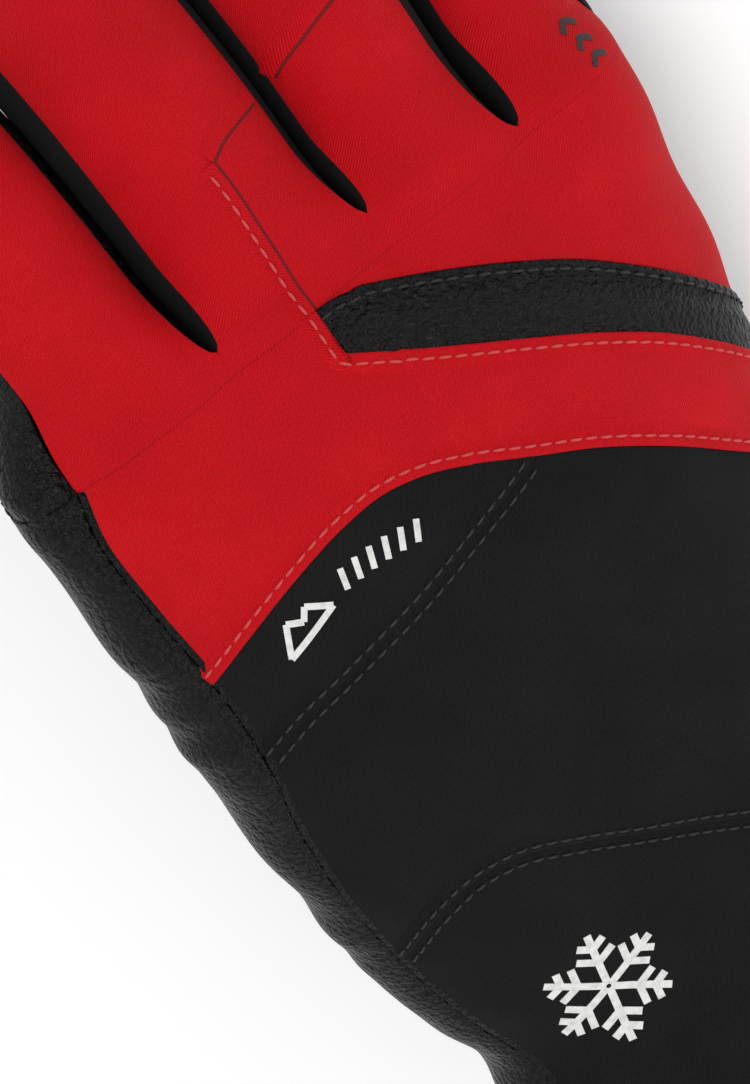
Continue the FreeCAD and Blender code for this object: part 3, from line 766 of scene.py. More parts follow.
class Finger:
    """Centre line: pitch 6 degrees down, then 45 more spread evenly from 23 mm to its end."""

    def __init__(self, name):
        self.x, self.z, fan, self.r, self.long = FINGERS[name]
        self.fan = math.radians(fan)
        self.root = (SPLIT - 47) / (math.cos(math.radians(6)) * math.cos(self.fan))
        self.t = np.linspace(-4, self.long, 400)
        bend = np.clip((self.t - 23) / (self.long - 23), 0, 1)
        self.pitch = np.radians(6 + 45 * bend)
        step = np.diff(self.t)
        mid = (self.pitch[1:] + self.pitch[:-1]) / 2
        self.y = np.concatenate([[0], np.cumsum(np.cos(mid) * step)])
        self.y -= np.interp(0, self.t, self.y)
        self.d = np.concatenate([[0], np.cumsum(np.sin(mid) * step)])
        self.d -= np.interp(0, self.t, self.d)
        self.across = np.array([math.cos(self.fan), -math.sin(self.fan), 0])

    def frame(self, s):
        """Centre, forward and outward directions at distance s from the crotch line."""
        y, d, p = (np.interp(s, self.t, v) for v in (self.y, self.d, self.pitch))
        c = np.stack([self.x + y * math.sin(self.fan), 47 + y * math.cos(self.fan), self.z - d], -1)
        f = np.stack([math.sin(self.fan) * np.cos(p), math.cos(self.fan) * np.cos(p), -np.sin(p)], -1)
        n = np.stack([math.sin(self.fan) * np.sin(p), math.cos(self.fan) * np.sin(p), np.cos(p)], -1)
        return c, f, n


def slot_gap(finger, k, s):
    """Distance from the finger's centre line to the middle of slot k."""
    x, fan, _ = SLOTS[k]
    c = finger.frame(s)[0]
    return np.abs(x + (c[..., 1] - 47) * math.tan(math.radians(fan)) - c[..., 0])


def slot_open(k, s):
    """How far slot k is open at s: a quarter circle from its end over SLOT_RUN."""
    d = np.clip((s - SLOTS[k][2]) / SLOT_RUN, 0, 1)
    return np.sqrt(1 - (1 - d) ** 2)


def reach(name, finger, s, little):
    """Sideways reach of the back and palm strips at s: to the slot, or to the outer seam."""
    order = list(FINGERS).index(name)
    k = order if little else order - 1
    own = EDGES[name][little]
    own = finger.r * (own + (EDGE - own) * ease((s - 0.5 * finger.long) / (0.5 * finger.long)))
    if 0 <= k < 3:
        return slot_gap(finger, k, s) * (1 - slot_open(k, s)) + own * slot_open(k, s)
    hand_edge = 12.5 if not little else LITTLE_ROOT
    return hand_edge + (own - hand_edge) * ease((s + 0.5) / 14)


def blend_in(name, s, w):
    """Share of finger against hand: none up to the slot ends, all of it at ROOTED."""
    order = list(FINGERS).index(name)
    ends = [SLOTS[k][2] if 0 <= k < 3 else -0.5 for k in (order - 1, order)]
    start = ends[0] * (1 - w) + ends[1] * w
    return ease((s - start) / (ROOTED - start))


def cushion(finger, u, s, edge):
    full = 1 - np.clip(np.abs(u) / edge, 0, 1) ** 6
    return (0.45 + 0.8 * ripple(u * 1.3 + finger.x, s + 60)) * full


def back_of(name, finger):
    """Surface of the red back: w from 0 to 1 across, s along; past the end of the centre
    line, s - long is the angle round the tip times the radius."""
    def surface(w, s):
        w, s = np.broadcast_arrays(np.asarray(w, float), np.asarray(s, float))
        on = np.minimum(s, finger.long)
        ahead = EDGE * finger.r * np.sin(np.clip((s - finger.long) / finger.r, 0, math.pi / 2))
        lo, hi = reach(name, finger, on, False), reach(name, finger, on, True)
        half = np.sqrt(np.maximum((EDGE * finger.r) ** 2 - ahead ** 2, 0))
        tip = s > finger.long
        u = np.where(tip, (2 * w - 1) * half, -lo + (lo + hi) * w)
        c, f, n = finger.frame(on)
        high = np.sqrt(np.maximum(finger.r ** 2 - np.minimum(u ** 2 + ahead ** 2,
                                                             (0.985 * finger.r) ** 2), 0))
        p = c + u[..., None] * finger.across + ahead[..., None] * f
        soft = cushion(finger, np.sqrt(u ** 2 + ahead ** 2), s, np.maximum(lo, hi))
        p = p + (high + soft)[..., None] * n
        x, y = c[..., 0] + u * math.cos(finger.fan), c[..., 1]
        near = on < ROOTED + 1
        q = q_over(np.where(near, x, 0), np.where(near, y, 40))
        h = grown(q, np.where(near, y, 40))
        b = blend_in(name, on, w)[..., None]
        return h * (1 - b) + p * b
    return surface


def wall_of(name, finger, back, palm):
    """Surface of the side walls: v from 0 at the palm edge to 1 at the back edge, k along a
    run that goes out on the thumb side, round the tip and home on the other side.  It is the
    finger's own circle, closed on the slot's middle at the slot's end, or the side of the
    hand at an outer root, then moved so that both edges meet the back and the palm."""
    order = list(FINGERS).index(name)

    def surface(v, k):
        v, k = np.broadcast_arrays(np.asarray(v, float), np.asarray(k, float))
        s = np.clip(np.where(k < 0.5, k / 0.42, (1 - k) / 0.42), 0, 1)
        s = finger.root + s * (finger.long - finger.root)
        little = k > 0.5
        turn_ = math.pi * np.clip((k - 0.42) / 0.16, 0, 1)
        rim_s = s + np.minimum(turn_, math.pi - turn_) * finger.r
        top_edge = back(np.where(little, 1.0, 0.0), rim_s)
        low_edge = palm(np.where(little, 0.0, 1.0), rim_s)
        low, c, f, n = -math.sqrt(1 - EDGE ** 2) * finger.r, *finger.frame(s)
        e = (-np.cos(turn_))[..., None] * finger.across + np.sin(turn_)[..., None] * f

        def circle(v):
            h = low * (1 - v) - low * v
            wide = np.sqrt(finger.r ** 2 - h ** 2)
            swell = 4 * v * (1 - v) * ease((finger.long - s) / 18)
            for kk, mine in ((order - 1, k < 0.42), (order, k > 0.58)):
                if 0 <= kk < 3:
                    o, gap = slot_open(kk, s), slot_gap(finger, kk, s)
                    full = wide - 0.2 + np.maximum(gap - finger.r + 0.14, 0) * swell
                    wide = np.where(mine, gap * (1 - o) + full * o, wide)
            return c + wide[..., None] * e + h[..., None] * n
        to_low, to_top = low_edge - circle(0 * v), top_edge - circle(0 * v + 1)
        p = circle(v) + (1 - v[..., None]) * to_low + v[..., None] * to_top
        sunk = sum(np.maximum(-(d * e).sum(-1), 0) for d in (to_low, to_top))
        p = p + (2.2 * v * (1 - v) * sunk)[..., None] * e
        for kk, mine in ((order - 1, k < 0.42), (order, k > 0.58)):
            if 0 <= kk < 3:
                tuck = 0.9 * ease((SLOTS[kk][2] + 0.6 - s) / 0.8) * mine * (1 - 2 * v)
                p = p + tuck[..., None] * n
        for kk, mine, edge in ((-1, k < 0.42, -48.9), (3, k > 0.58, 48.3 + LITTLE_ROOT)):
            if kk == (order - 1 if kk < 0 else order):
                left, right_, lo_, hi_, power = sizes(np.minimum(c[..., 1], 62))
                t = np.clip(((left + right_) / 2 - edge) / ((right_ - left) / 2), -0.9999, 0.9999)
                a = np.arccos(np.sign(t) * np.abs(t) ** (power / 2))
                a0 = -a if kk < 0 else 2 * math.pi - a
                t = np.clip((15.0 - (lo_ + hi_) / 2) / ((hi_ - lo_) / 2), -0.98, 0.98)
                seam = np.arcsin(np.sign(t) * np.abs(t) ** (power / 2))
                at = a0 + (a - a0) * v
                out = (roll_swell((at - seam) / (a - seam), c[..., 1]) if kk < 0
                       else 0.6 * np.sin(math.pi * v))
                h = section(at, np.minimum(c[..., 1], 62), out)
                b = (ease((s + 0.5) / ROOTED) * mine + ~mine)[..., None]
                plump = 0.8 * np.sin(math.pi * v)[..., None] * 4 * b * (1 - b)
                p = h * (1 - b) + p * b + plump * e
        return p
    return surface


def under(x, y, out=0.0):
    """Point of the palm straight below x."""
    x, y = np.broadcast_arrays(np.asarray(x, float), np.asarray(y, float))
    left, right_, low, high, n = sizes(y)
    v = np.clip(((left + right_) / 2 - x) / ((right_ - left) / 2), -0.9999, 0.9999)
    return section(-np.arccos(np.sign(v) * np.abs(v) ** (n / 2)), y, out)


def palm_of(name, finger):
    """Surface of the leather side: as the back, but below, with finger creases across."""
    def surface(w, s):
        w, s = np.broadcast_arrays(np.asarray(w, float), np.asarray(s, float))
        on = np.minimum(s, finger.long)
        ahead = EDGE * finger.r * np.sin(np.clip((s - finger.long) / finger.r, 0, math.pi / 2))
        half = np.sqrt(np.maximum((EDGE * finger.r) ** 2 - ahead ** 2, 0))
        order = list(FINGERS).index(name)
        sides = []
        for k in (order - 1, order):
            if 0 <= k < 3:
                o = slot_open(k, on)
                sides.append(slot_gap(finger, k, on) * (1 - o) + EDGE * finger.r * o)
            else:
                root = 12.5 if k < 0 else LITTLE_ROOT
                sides.append(root + (EDGE * finger.r - root) * ease((on + 0.5) / 14))
        hi, lo = sides[0], sides[1]
        u = np.where(s > finger.long, (1 - 2 * w) * half, lo - (lo + hi) * w)
        c, f, n = finger.frame(on)
        high = np.sqrt(np.maximum(finger.r ** 2 - np.minimum(u ** 2 + ahead ** 2,
                                                             (0.985 * finger.r) ** 2), 0))
        folds = sum(-0.7 * np.exp(-((s - at * finger.long) / 1.3) ** 2) for at in (0.40, 0.66, 0.70))
        soft = cushion(finger, np.sqrt(u ** 2 + ahead ** 2), s + 200, np.maximum(lo, hi)) + folds
        p = c + u[..., None] * finger.across + ahead[..., None] * f - (high + soft)[..., None] * n
        x, y = c[..., 0] + u * math.cos(finger.fan), c[..., 1]
        near = on < ROOTED + 1
        h = under(np.where(near, x, 0), np.where(near, y, 40), palm_puff(x, y))
        b = blend_in(name, on, 1 - w)[..., None]
        return h * (1 - b) + p * b
    return surface


def palm_puff(x, y):
    """Palm leather: gentle ripples and two hollows where the hand folds."""
    return (0.5 + 1.1 * ripple(x + 300, y - 40) - 0.8 * np.exp(-((y + 0.35 * x - 22) / 3.0) ** 2)
            - 0.7 * np.exp(-((y - 0.45 * x + 8) / 3.4) ** 2))


def flat_weave(p):
    """Weave map of a grid: distances across from its middle, and along."""
    du = np.linalg.norm(np.diff(p, axis=1), axis=2)
    dv = np.linalg.norm(np.diff(p, axis=0), axis=2)
    u = np.concatenate([np.zeros((len(p), 1)), np.cumsum(du, 1)], 1)
    v = np.concatenate([[0], np.cumsum(dv[:, p.shape[1] // 2])])
    return np.stack([u - u[:, u.shape[1] // 2:u.shape[1] // 2 + 1],
                     np.broadcast_to(v[:, None], u.shape)], -1)


backs, knuckles = {}, {}
for name in FINGERS:
    finger = Finger(name)
    knuckle = [tuple(settle(finger.frame(np.array(v))[0])) for v in (6.0, 25.0)]
    s_rows = np.concatenate([np.linspace(finger.root, finger.long, 110),
                             finger.long + np.linspace(0, math.pi / 2, 22)[1:] * finger.r])
    w_cols = 0.5 - 0.5 * np.cos(np.linspace(0, math.pi, 60))
    backs[name], knuckles[name] = back_of(name, finger), knuckle
    palm_side = palm_of(name, finger)
    side = wall_of(name, finger, backs[name], palm_side)
    dark = LEATHER if name == "index" else BLACK
    for part, slot, p, cloth, thick in (
            ("back", "red_shell", backs[name](w_cols[None], s_rows[:, None]), RED, 0.7),
            ("side_wall", "black_leather" if name == "index" else "black_softshell",
             side(np.linspace(0, 1, 26)[None], np.linspace(0, 1, 300)[:, None]), dark, 0.7),
            ("palm", "black_leather", palm_side(w_cols[None], s_rows[:, None]), LEATHER, 0.9)):
        piece = sheet(name + "_finger_" + part, p, cloth, thick=thick,
                      uv=flat_weave(p) + [finger.x, 47])
        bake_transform(piece)
        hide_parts(name + "_" + part, *(["finger_web"] if (name, part) ==
                                                ("middle", "side_wall") else []))

# ======================================================================================
# Palm side of the hand: a leather palm, a softshell heel and the softshell underside of the cuff, each
# running from side seam to side seam below the hand.
def below(t, y, out=0.0):
    """Palm surface: t from 0 at the little-finger seam round below to 1 at the thumb seam."""
    t, y = np.broadcast_arrays(np.asarray(t, float), np.asarray(y, float))
    left, right_, low, high, n = sizes(y)
    v = np.clip((19.0 - (low + high) / 2) / ((high - low) / 2), -0.98, 0.98)
    a1 = math.pi - np.arcsin(np.sign(v) * np.abs(v) ** (n / 2))
    v = np.clip((15.0 - (low + high) / 2) / ((high - low) / 2), -0.98, 0.98)
    a0 = 2 * math.pi + np.arcsin(np.sign(v) * np.abs(v) ** (n / 2))
    a = a1 + (a0 - a1) * t
    base = section(a, y)
    calm = np.sin(math.pi * np.clip(t, 0, 1)) ** 0.4
    gather = np.exp(-((y + 79) / 7.5) ** 2) * 0.8 * np.sin(base[..., 0] / 1.9)
    return section(a, y, out + palm_puff(base[..., 0], y) * calm + gather * calm)


t_cols = np.linspace(0, 1, 150)
for node_name, y0, y1, slot, cloth in (("palm_panel", -60, SPLIT, "black_leather", LEATHER),
                                       ("heel_panel", -98, -60, "black_softshell", BLACK),
                                       ("cuff_under_panel", HEM, -98, "black_softshell", BLACK)):
    rows_y = np.linspace(y0, y1, int((y1 - y0) / 0.8))
    p = below(t_cols[None], rows_y[:, None])
    place(sheet(node_name + "_cloth", p, cloth, thick=0.9, uv=flat_weave(p)), "glove", slot,
          node_name)
seam_rows = []
for y_at, cloth, slot in ((-60, LEATHER, "black_leather"), (-98, BLACK, "black_softshell")):
    path = np.stack([np.linspace(0.01, 0.99, 220) * 150, np.full(220, float(y_at))], -1)
    under_skin = lambda t, y: below(t / 150, y)
    place(fold("fold_under_%d" % -y_at, under_skin, path, cloth, high=0.9), "glove", slot)
    seam_rows.append(row_on(under_skin, path, 1.5))
for little in (False, True):
    y = np.linspace(HEM, SPLIT + 1.5, 300)
    path = np.stack([q_side(y, little, 19.0 if little else 15.0), y], -1)
    if not little:
        path = path[::-1]
    place(fold("fold_side_%d" % little, skin, path, LEATHER, high=1.1, wide=0.9), "glove",
          "black_leather")
    seam_rows.append(row_on(skin, path, 1.4, 0.5))
place(stitches("stitches_palm", seam_rows, BLACK_THREAD), "glove", "black_leather")

# Leather patch over the outer palm, where a ski pole wears the glove, sewn round its edge.
patch_rows = np.linspace(-52, 39, 90)
t = np.linspace(0, 1, 60)[None]
left_x = np.interp(patch_rows, [-52, -20, 10, 39], [4, 2.5, 5, 5])[:, None]
right_x = np.interp(patch_rows, [-52, -10, 20, 39], [36, 44, 46, 46])[:, None]
x = right_x * (1 - t) + left_x * t
y = np.broadcast_to(patch_rows[:, None], x.shape)
p = under(x, y, palm_puff(x, y) + 0.9)
place(sheet("palm_patch_leather", p, LEATHER, thick=0.9, lip=0.9, uv=flat_weave(p)), "glove",
      "black_leather", "palm_patch")
flat = np.stack([x, y], -1)
rim = np.vstack([flat[3], flat[3:-3, -3], flat[-4, ::-1], flat[-4:3:-1, 2]])
mirror = lambda x, y: under(-x, y, palm_puff(-x, y))
p, n = frame_on(mirror, even(rim * [-1, 1], 400))
place(stitches("stitches_patch", [(p + n * 1.1, n)], BLACK_THREAD), "glove", "black_leather")

# Elastic gathered across the under side of the wrist.
rows_y = np.linspace(-88, -76, 24)
p = below(np.linspace(0.06, 0.94, 260)[None], rows_y[:, None], 0.75)
wave = 0.35 * np.sin(np.linspace(0, 260, 260) * 0.9)[None, :, None] * grid_normals(p)


def ribbed(name, colour, light, across, depth, axis):
    """Knitted or woven tape: ribs across it as a sine along one direction of its own map."""
    m, nodes, links, skin_ = tree_of(name)
    uv = node(nodes, "ShaderNodeUVMap", uv_map="weave")
    w = node(nodes, "ShaderNodeTexWave", Scale=0.31416 / across, Distortion=0.6, Detail=1.0,
             bands_direction=axis)
    fine = node(nodes, "ShaderNodeTexWave", Scale=0.31416 / (across * 0.45), Distortion=0.8,
                bands_direction="Y" if axis == "X" else "X")
    for x in (w, fine):
        links.new(uv.outputs[0], x.inputs["Vector"])
    both = node(nodes, "ShaderNodeMath", operation="MULTIPLY_ADD")
    links.new(fine.outputs["Fac"], both.inputs[0])
    both.inputs[1].default_value = 0.4
    links.new(w.outputs["Fac"], both.inputs[2])
    links.new(ramp(nodes, links, both.outputs[0], [(0.2, colour), (1.0, light)]),
              skin_.inputs["Base Color"])
    b = node(nodes, "ShaderNodeBump", Strength=0.9, Distance=depth)
    links.new(both.outputs[0], b.inputs["Height"])
    links.new(b.outputs[0], skin_.inputs["Normal"])
    skin_.inputs["Roughness"].default_value = 0.75
    skin_.inputs["Specular IOR Level"].default_value = 0.15
    return m


TAPE = ribbed("elastic_tape", (0.004, 0.004, 0.0045), (0.02, 0.02, 0.021), 1.1, 0.00022, "X")
WEBBING = ribbed("woven_webbing", (0.004, 0.004, 0.004), (0.022, 0.022, 0.023), 0.9, 0.00018, "Y")
place(sheet("wrist_elastic_tape", p + wave, TAPE, thick=0.7, uv=flat_weave(p)), "glove", "binding",
      "wrist_elastic")

# ======================================================================================
# Thumb: a leather ball root and a bent tube that lies over the palm side, in three pieces.
class Thumb:
    """Centre line: 10 mm straight, then 24 degrees round towards the palm's middle."""

    def __init__(self):
        self.r, self.long, self.fan = 13.8, 47.0, math.radians(22)
        self.t = np.linspace(0, 47, 300)
        self.turn = math.radians(24) * np.clip((self.t - 10) / 37, 0, 1)
        step = np.diff(self.t)
        mid = (self.turn[1:] + self.turn[:-1]) / 2
        self.a = np.concatenate([[0], np.cumsum(np.cos(mid) * step)])
        self.b = np.concatenate([[0], np.cumsum(np.sin(mid) * step)])

    def frame(self, s):
        """Centre, forward, sideways and up directions at s."""
        a, b, t = (np.interp(s, self.t, v) for v in (self.a, self.b, self.turn))
        cf, sf = math.cos(self.fan), math.sin(self.fan)
        c = np.stack([-34 + a * sf + b * cf, -30 + a * cf - b * sf, np.full(np.shape(s), -14.6)], -1)
        f = np.stack([np.cos(t) * sf + np.sin(t) * cf, np.cos(t) * cf - np.sin(t) * sf, 0 * t], -1)
        return c, f, np.stack([f[..., 1], -f[..., 0], 0 * t], -1)


thumb = Thumb()
H0 = 0.35 * thumb.r
RIM = math.sqrt(thumb.r ** 2 - H0 ** 2)
root_angle = np.linspace(math.pi / 2, 0, 26)
s_rows = np.concatenate([np.zeros(26), np.linspace(0, thumb.long, 70)[1:], np.full(25, thumb.long)])
ahead = np.concatenate([-RIM * np.sin(root_angle), np.zeros(69), RIM * np.sin(root_angle[::-1][1:])])
along_t = np.concatenate([-thumb.r * root_angle, np.linspace(0, thumb.long, 70)[1:],
                          thumb.long + thumb.r * root_angle[::-1][1:]])
w_cols = -np.cos(np.linspace(0, math.pi, 60))
half = np.sqrt(np.maximum(RIM ** 2 - ahead ** 2, 0))[:, None]
for part, up in (("inner_face", 1.0), ("outer_face", -1.0)):
    u = w_cols[None] * half * up
    c, f, x_ = thumb.frame(s_rows)
    flat = np.minimum(u ** 2 + ahead[:, None] ** 2, RIM ** 2)
    creases = sum(0.5 * np.exp(-((along_t - at) / 1.5) ** 2) for at in (22, 26))[:, None]
    soft = (0.5 * ripple(u * 1.5, along_t[:, None] + 90 * up) - creases) * (1 - flat / RIM ** 2)
    high = np.sqrt(thumb.r ** 2 - flat) + soft
    p = (c[:, None] + u[..., None] * x_[:, None] + ahead[:, None, None] * f[:, None]
         + high[..., None] * np.array([0, 0, up]))
    place(sheet("thumb_" + part + "_leather", p, LEATHER, thick=0.9, uv=flat_weave(p)), "thumb",
          "black_leather", "thumb_" + part)
turns = np.concatenate([np.linspace(0, math.pi, 60), np.full(70, math.pi)[1:],
                        np.linspace(math.pi, 2 * math.pi, 60)[1:], np.full(70, 2 * math.pi)[1:]])
at = np.concatenate([np.zeros(60), np.linspace(0, thumb.long, 70)[1:], np.full(59, thumb.long),
                     np.linspace(thumb.long, 0, 70)[1:]])
c, f, x_ = thumb.frame(at)
h = np.linspace(-H0, H0, 24)[None]
e = np.cos(turns)[:, None] * x_ - np.sin(turns)[:, None] * f
run_round = np.concatenate([[0], np.cumsum(np.linalg.norm(np.diff(c + RIM * e, axis=0), axis=1))])
soft = 0.4 * ripple(run_round[:, None], h * 2) * (1 - (h / H0) ** 2)
wide = np.sqrt(thumb.r ** 2 - h ** 2) + soft
p = c[:, None] + wide[..., None] * e[:, None] + h[..., None] * np.array([0, 0, 1.0])
side = np.stack([np.broadcast_to(h, p.shape[:2]), np.broadcast_to(run_round[:, None], p.shape[:2])], -1)
place(sheet("thumb_wall_leather", p, LEATHER, thick=0.9, uv=side), "thumb", "black_leather",
      "thumb_side_wall")

# ======================================================================================
# Seam up the middle finger and over the ring finger: the red cloth is pieced, and its edge
# carries on from the corner of the knuckle band with the same light topstitch.
def finger_top(name):
    """The red back of a finger as a surface of u, across in millimetres, and s, along."""
    finger = Finger(name)

    def surface(u, s):
        on = np.minimum(s, finger.long)
        lo, hi = reach(name, finger, on, False), reach(name, finger, on, True)
        return backs[name]((u + lo) / (lo + hi), s)
    return surface


def bend_with(piece):
    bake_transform(piece)
    return piece


rise = line([(-0.1, -0.4), (-0.1, 3.2), (0.5, 9.2), (0.7, 14.8), (0.9, 19.9), (0.8, 23.9)])
turn_off = line([(0.8, 23.9), (4.0, 25.1), (8.0, 25.7), (12.6, 26.0)])
over_ring = line([(-11.4, 26.2), (-10.0, 27.0), (-6.0, 28.2), (-0.4, 29.5), (6.0, 30.4), (11.2, 30.8)])
for name, label, path in (("middle", "rise", rise), ("middle", "turn", turn_off),
                          ("ring", "over", over_ring)):
    bend_with(fold("fold_red_" + label, finger_top(name), path, RED, high=0.75, wide=0.75))
# Dark red strips laid beside the seam folds on the fingers are painted shade: they stand in for the
# shadow in each seam's groove.
RED_SEAM_PAINTED_SHADE = thread_material("red_seam_painted_shade", (0.10, 0.0008, 0.002), (0.20, 0.0012, 0.004), 0.9)
bend_with(stitches("stitches_red_finger", [row_on(finger_top("middle"), rise, 1.5)], RED_THREAD))


# ======================================================================================
# Prints: a six-armed snowflake on the cuff, a mountain ridge with bars beside it on the
# yoke, and dark slanted bars by the little finger.  All are rubber ink, flat strokes a
# tenth of a millimetre proud.
def ink(name, colour, shade, rough):
    """Ink: fine mottling of the colour, and a faint grain from the same mottling."""
    m, nodes, links, skin_ = tree_of(name)
    where = node(nodes, "ShaderNodeTexCoord")
    mottle = node(nodes, "ShaderNodeTexNoise", Scale=900.0, Detail=3.0)
    links.new(where.outputs["Object"], mottle.inputs["Vector"])
    links.new(ramp(nodes, links, mottle.outputs["Fac"], [(0.3, shade), (0.6, colour)]),
              skin_.inputs["Base Color"])
    b = node(nodes, "ShaderNodeBump", Strength=0.4, Distance=0.00004)
    links.new(mottle.outputs["Fac"], b.inputs["Height"])
    links.new(b.outputs[0], skin_.inputs["Normal"])
    skin_.inputs["Roughness"].default_value = rough
    return m


def strokes(name, surface, paths, wide, material, high=0.12):
    """Flat strokes: each path becomes a closed strip, wide across, that follows the surface."""
    verts, faces, flat, base = [], [], [], 0
    for path in paths:
        path = np.asarray(path, float)
        k = max(int(np.linalg.norm(np.diff(path, axis=0), axis=1).sum() / 0.6), 2) + 1
        path = even(path, k)
        ring = []
        for gap, lift in ((wide / 2, high), (-wide / 2, high), (-wide / 2, -0.3), (wide / 2, -0.3)):
            p, n = frame_on(surface, beside(path, gap))
            ring.append(p + n * lift)
        ids = base + np.arange(4 * k).reshape(k, 4)
        a, b = ids[:-1], ids[1:]
        faces += [np.stack([a, np.roll(a, -1, 1), np.roll(b, -1, 1), b], -1).reshape(-1, 4),
                  ids[:1, ::-1], ids[-1:]]
        verts.append(np.stack(ring, 1).reshape(-1, 3))
        flat.append(np.repeat(path, 4, 0))
        base += 4 * k
    return make_object(name, np.concatenate(verts), np.concatenate(faces), np.concatenate(flat),
                       material, 1)


# Not print: dark red strips just beside each finger seam fold, painted shade in place of the groove's
# shadow.
for name, label, path in (("middle", "rise", rise), ("middle", "turn", turn_off),
                          ("ring", "over", over_ring)):
    bend_with(strokes("painted_shade_red_" + label, finger_top(name), [beside(path, -0.28)], 0.42, RED_SEAM_PAINTED_SHADE,
                      high=0.05))


def over(x, y):
    return grown(q_over(x, y), y)


WHITE_INK = ink("white_ink", (0.80, 0.80, 0.78), (0.62, 0.62, 0.60), 0.5)
DARK_INK = ink("dark_ink", (0.030, 0.004, 0.005), (0.018, 0.003, 0.004), 0.45)
flake, middle, arm = [], np.array([-30.5, -70.0]), 10.5
for k in range(6):
    way = math.radians(60 * k + 20)
    out = np.array([math.cos(way), math.sin(way)])
    flake.append([middle + 0.4 * out, middle + arm * out])
    for at, long in ((0.48, 3.6), (0.74, 2.6)):
        for turn_by in (-60, 60):
            twig = way + math.radians(turn_by)
            root = middle + at * arm * out
            flake.append([root, root + long * np.array([math.cos(twig), math.sin(twig)])])
place(strokes("snowflake_print", over, flake, 1.25, WHITE_INK), "glove", "white_print",
      "cuff_emblem")
base_line = line([(-39.7, 10.9), (-33.0, 13.3), (-26.0, 14.3), (-18.5, 14.3), (-11.3, 13.0)])
base_run = np.concatenate([[0], np.cumsum(np.linalg.norm(np.diff(base_line, axis=0), axis=1))])


def on_line(points):
    """Points given along and above the curved base line, as x and y on the back."""
    p = np.asarray(points, float)
    up = np.gradient(base_line, axis=0)
    up = np.stack([-up[:, 1], up[:, 0]], -1) / np.linalg.norm(up, axis=1)[:, None]
    at = [np.interp(p[:, 0], base_run, c) for c in (*base_line.T, *up.T)]
    return np.stack([at[0] + p[:, 1] * at[2], at[1] + p[:, 1] * at[3]], -1)


ridge = [(0, -1.7), (3.4, 1.9), (5.2, 0.0), (6.8, 1.3), (9.8, -1.7), (0, -1.7)]
marks = [on_line(ridge[k:k + 2]) for k in range(5)]
marks += [on_line([(13.0 + 2.6 * k, -1.5), (14.1 + 2.6 * k, 1.6)]) for k in range(6)]
place(strokes("ridge_print", over, marks, 0.95, WHITE_INK), "glove", "white_print", "back_label")
bars = [[(2.6, s), (4.4, s + 1.3), (6.2, s)] for s in (0.8, 3.6, 6.4)]
bend_with(strokes("finger_bars_print", finger_top("little"), bars, 1.0, DARK_INK, high=0.08))


# ======================================================================================
# Binding: woven tape folded over the edge of all the cuff's layers, sewn through.
def ring_mesh(name, p, material, uv):
    """Closed ring: rows of points, each a round, and the rows come back on themselves.  Its
    faces are turned by the sign of the volume that they hold."""
    a = np.arange(p.shape[0] * p.shape[1]).reshape(p.shape[:2])
    b = np.roll(a, -1, 0)
    quads = np.stack([a, np.roll(a, -1, 1), np.roll(b, -1, 1), b], -1).reshape(-1, 4)
    faces = np.concatenate([quads[:, [0, 1, 2]], quads[:, [0, 2, 3]]])
    verts, flat = p.reshape(-1, 3), uv.reshape(-1, 2)
    v = verts[faces]
    if np.einsum("ij,ij->i", v[:, 0], np.cross(v[:, 1], v[:, 2])).sum() < 0:
        faces = faces[:, ::-1]
    return make_object(name, verts, faces, flat, material)


def round_box(angle, wide, high, power=5.0):
    """Rounded rectangle: a superellipse of the given half sizes."""
    c, s = np.cos(angle), np.sin(angle)
    return (wide * np.sign(c) * np.abs(c) ** (2 / power),
            high * np.sign(s) * np.abs(s) ** (2 / power))


BIND = ribbed("binding_tape", (0.003, 0.003, 0.0034), (0.016, 0.016, 0.017), 0.8, 0.00015, "Y")
BIND_DEEP, BIND_LONG, BIND_SINK, BIND_Y = 3.05, 1.5, 2.5, -129.75
round_ = np.linspace(0, 2 * math.pi, 420, endpoint=False)[:, None] - math.pi / 2
b = np.linspace(0, 2 * math.pi, 40, endpoint=False)[None]
out, y = round_box(b, BIND_DEEP, BIND_LONG)
out = out - BIND_SINK + 0.10 * np.sin(round_ * 31) + 0.08 * np.sin(round_ * 12)
p = section(round_, y + BIND_Y, out)
uv = np.stack([(out + y) * np.ones(p.shape[:2]), round_ * 45 * np.ones(p.shape[:2])], -1)
place(ring_mesh("cuff_binding_tape", p, BIND, uv), "glove", "binding", "cuff_binding")
a = np.linspace(-math.pi / 2, 1.5 * math.pi, 700)
sewn = np.full(700, -129.0)
p = section(a, sewn, 0.66)
n = p - section(a, sewn, 0.66 - 1)
place(stitches("stitches_binding_outside", [(p, n)], BLACK_THREAD), "glove", "binding")

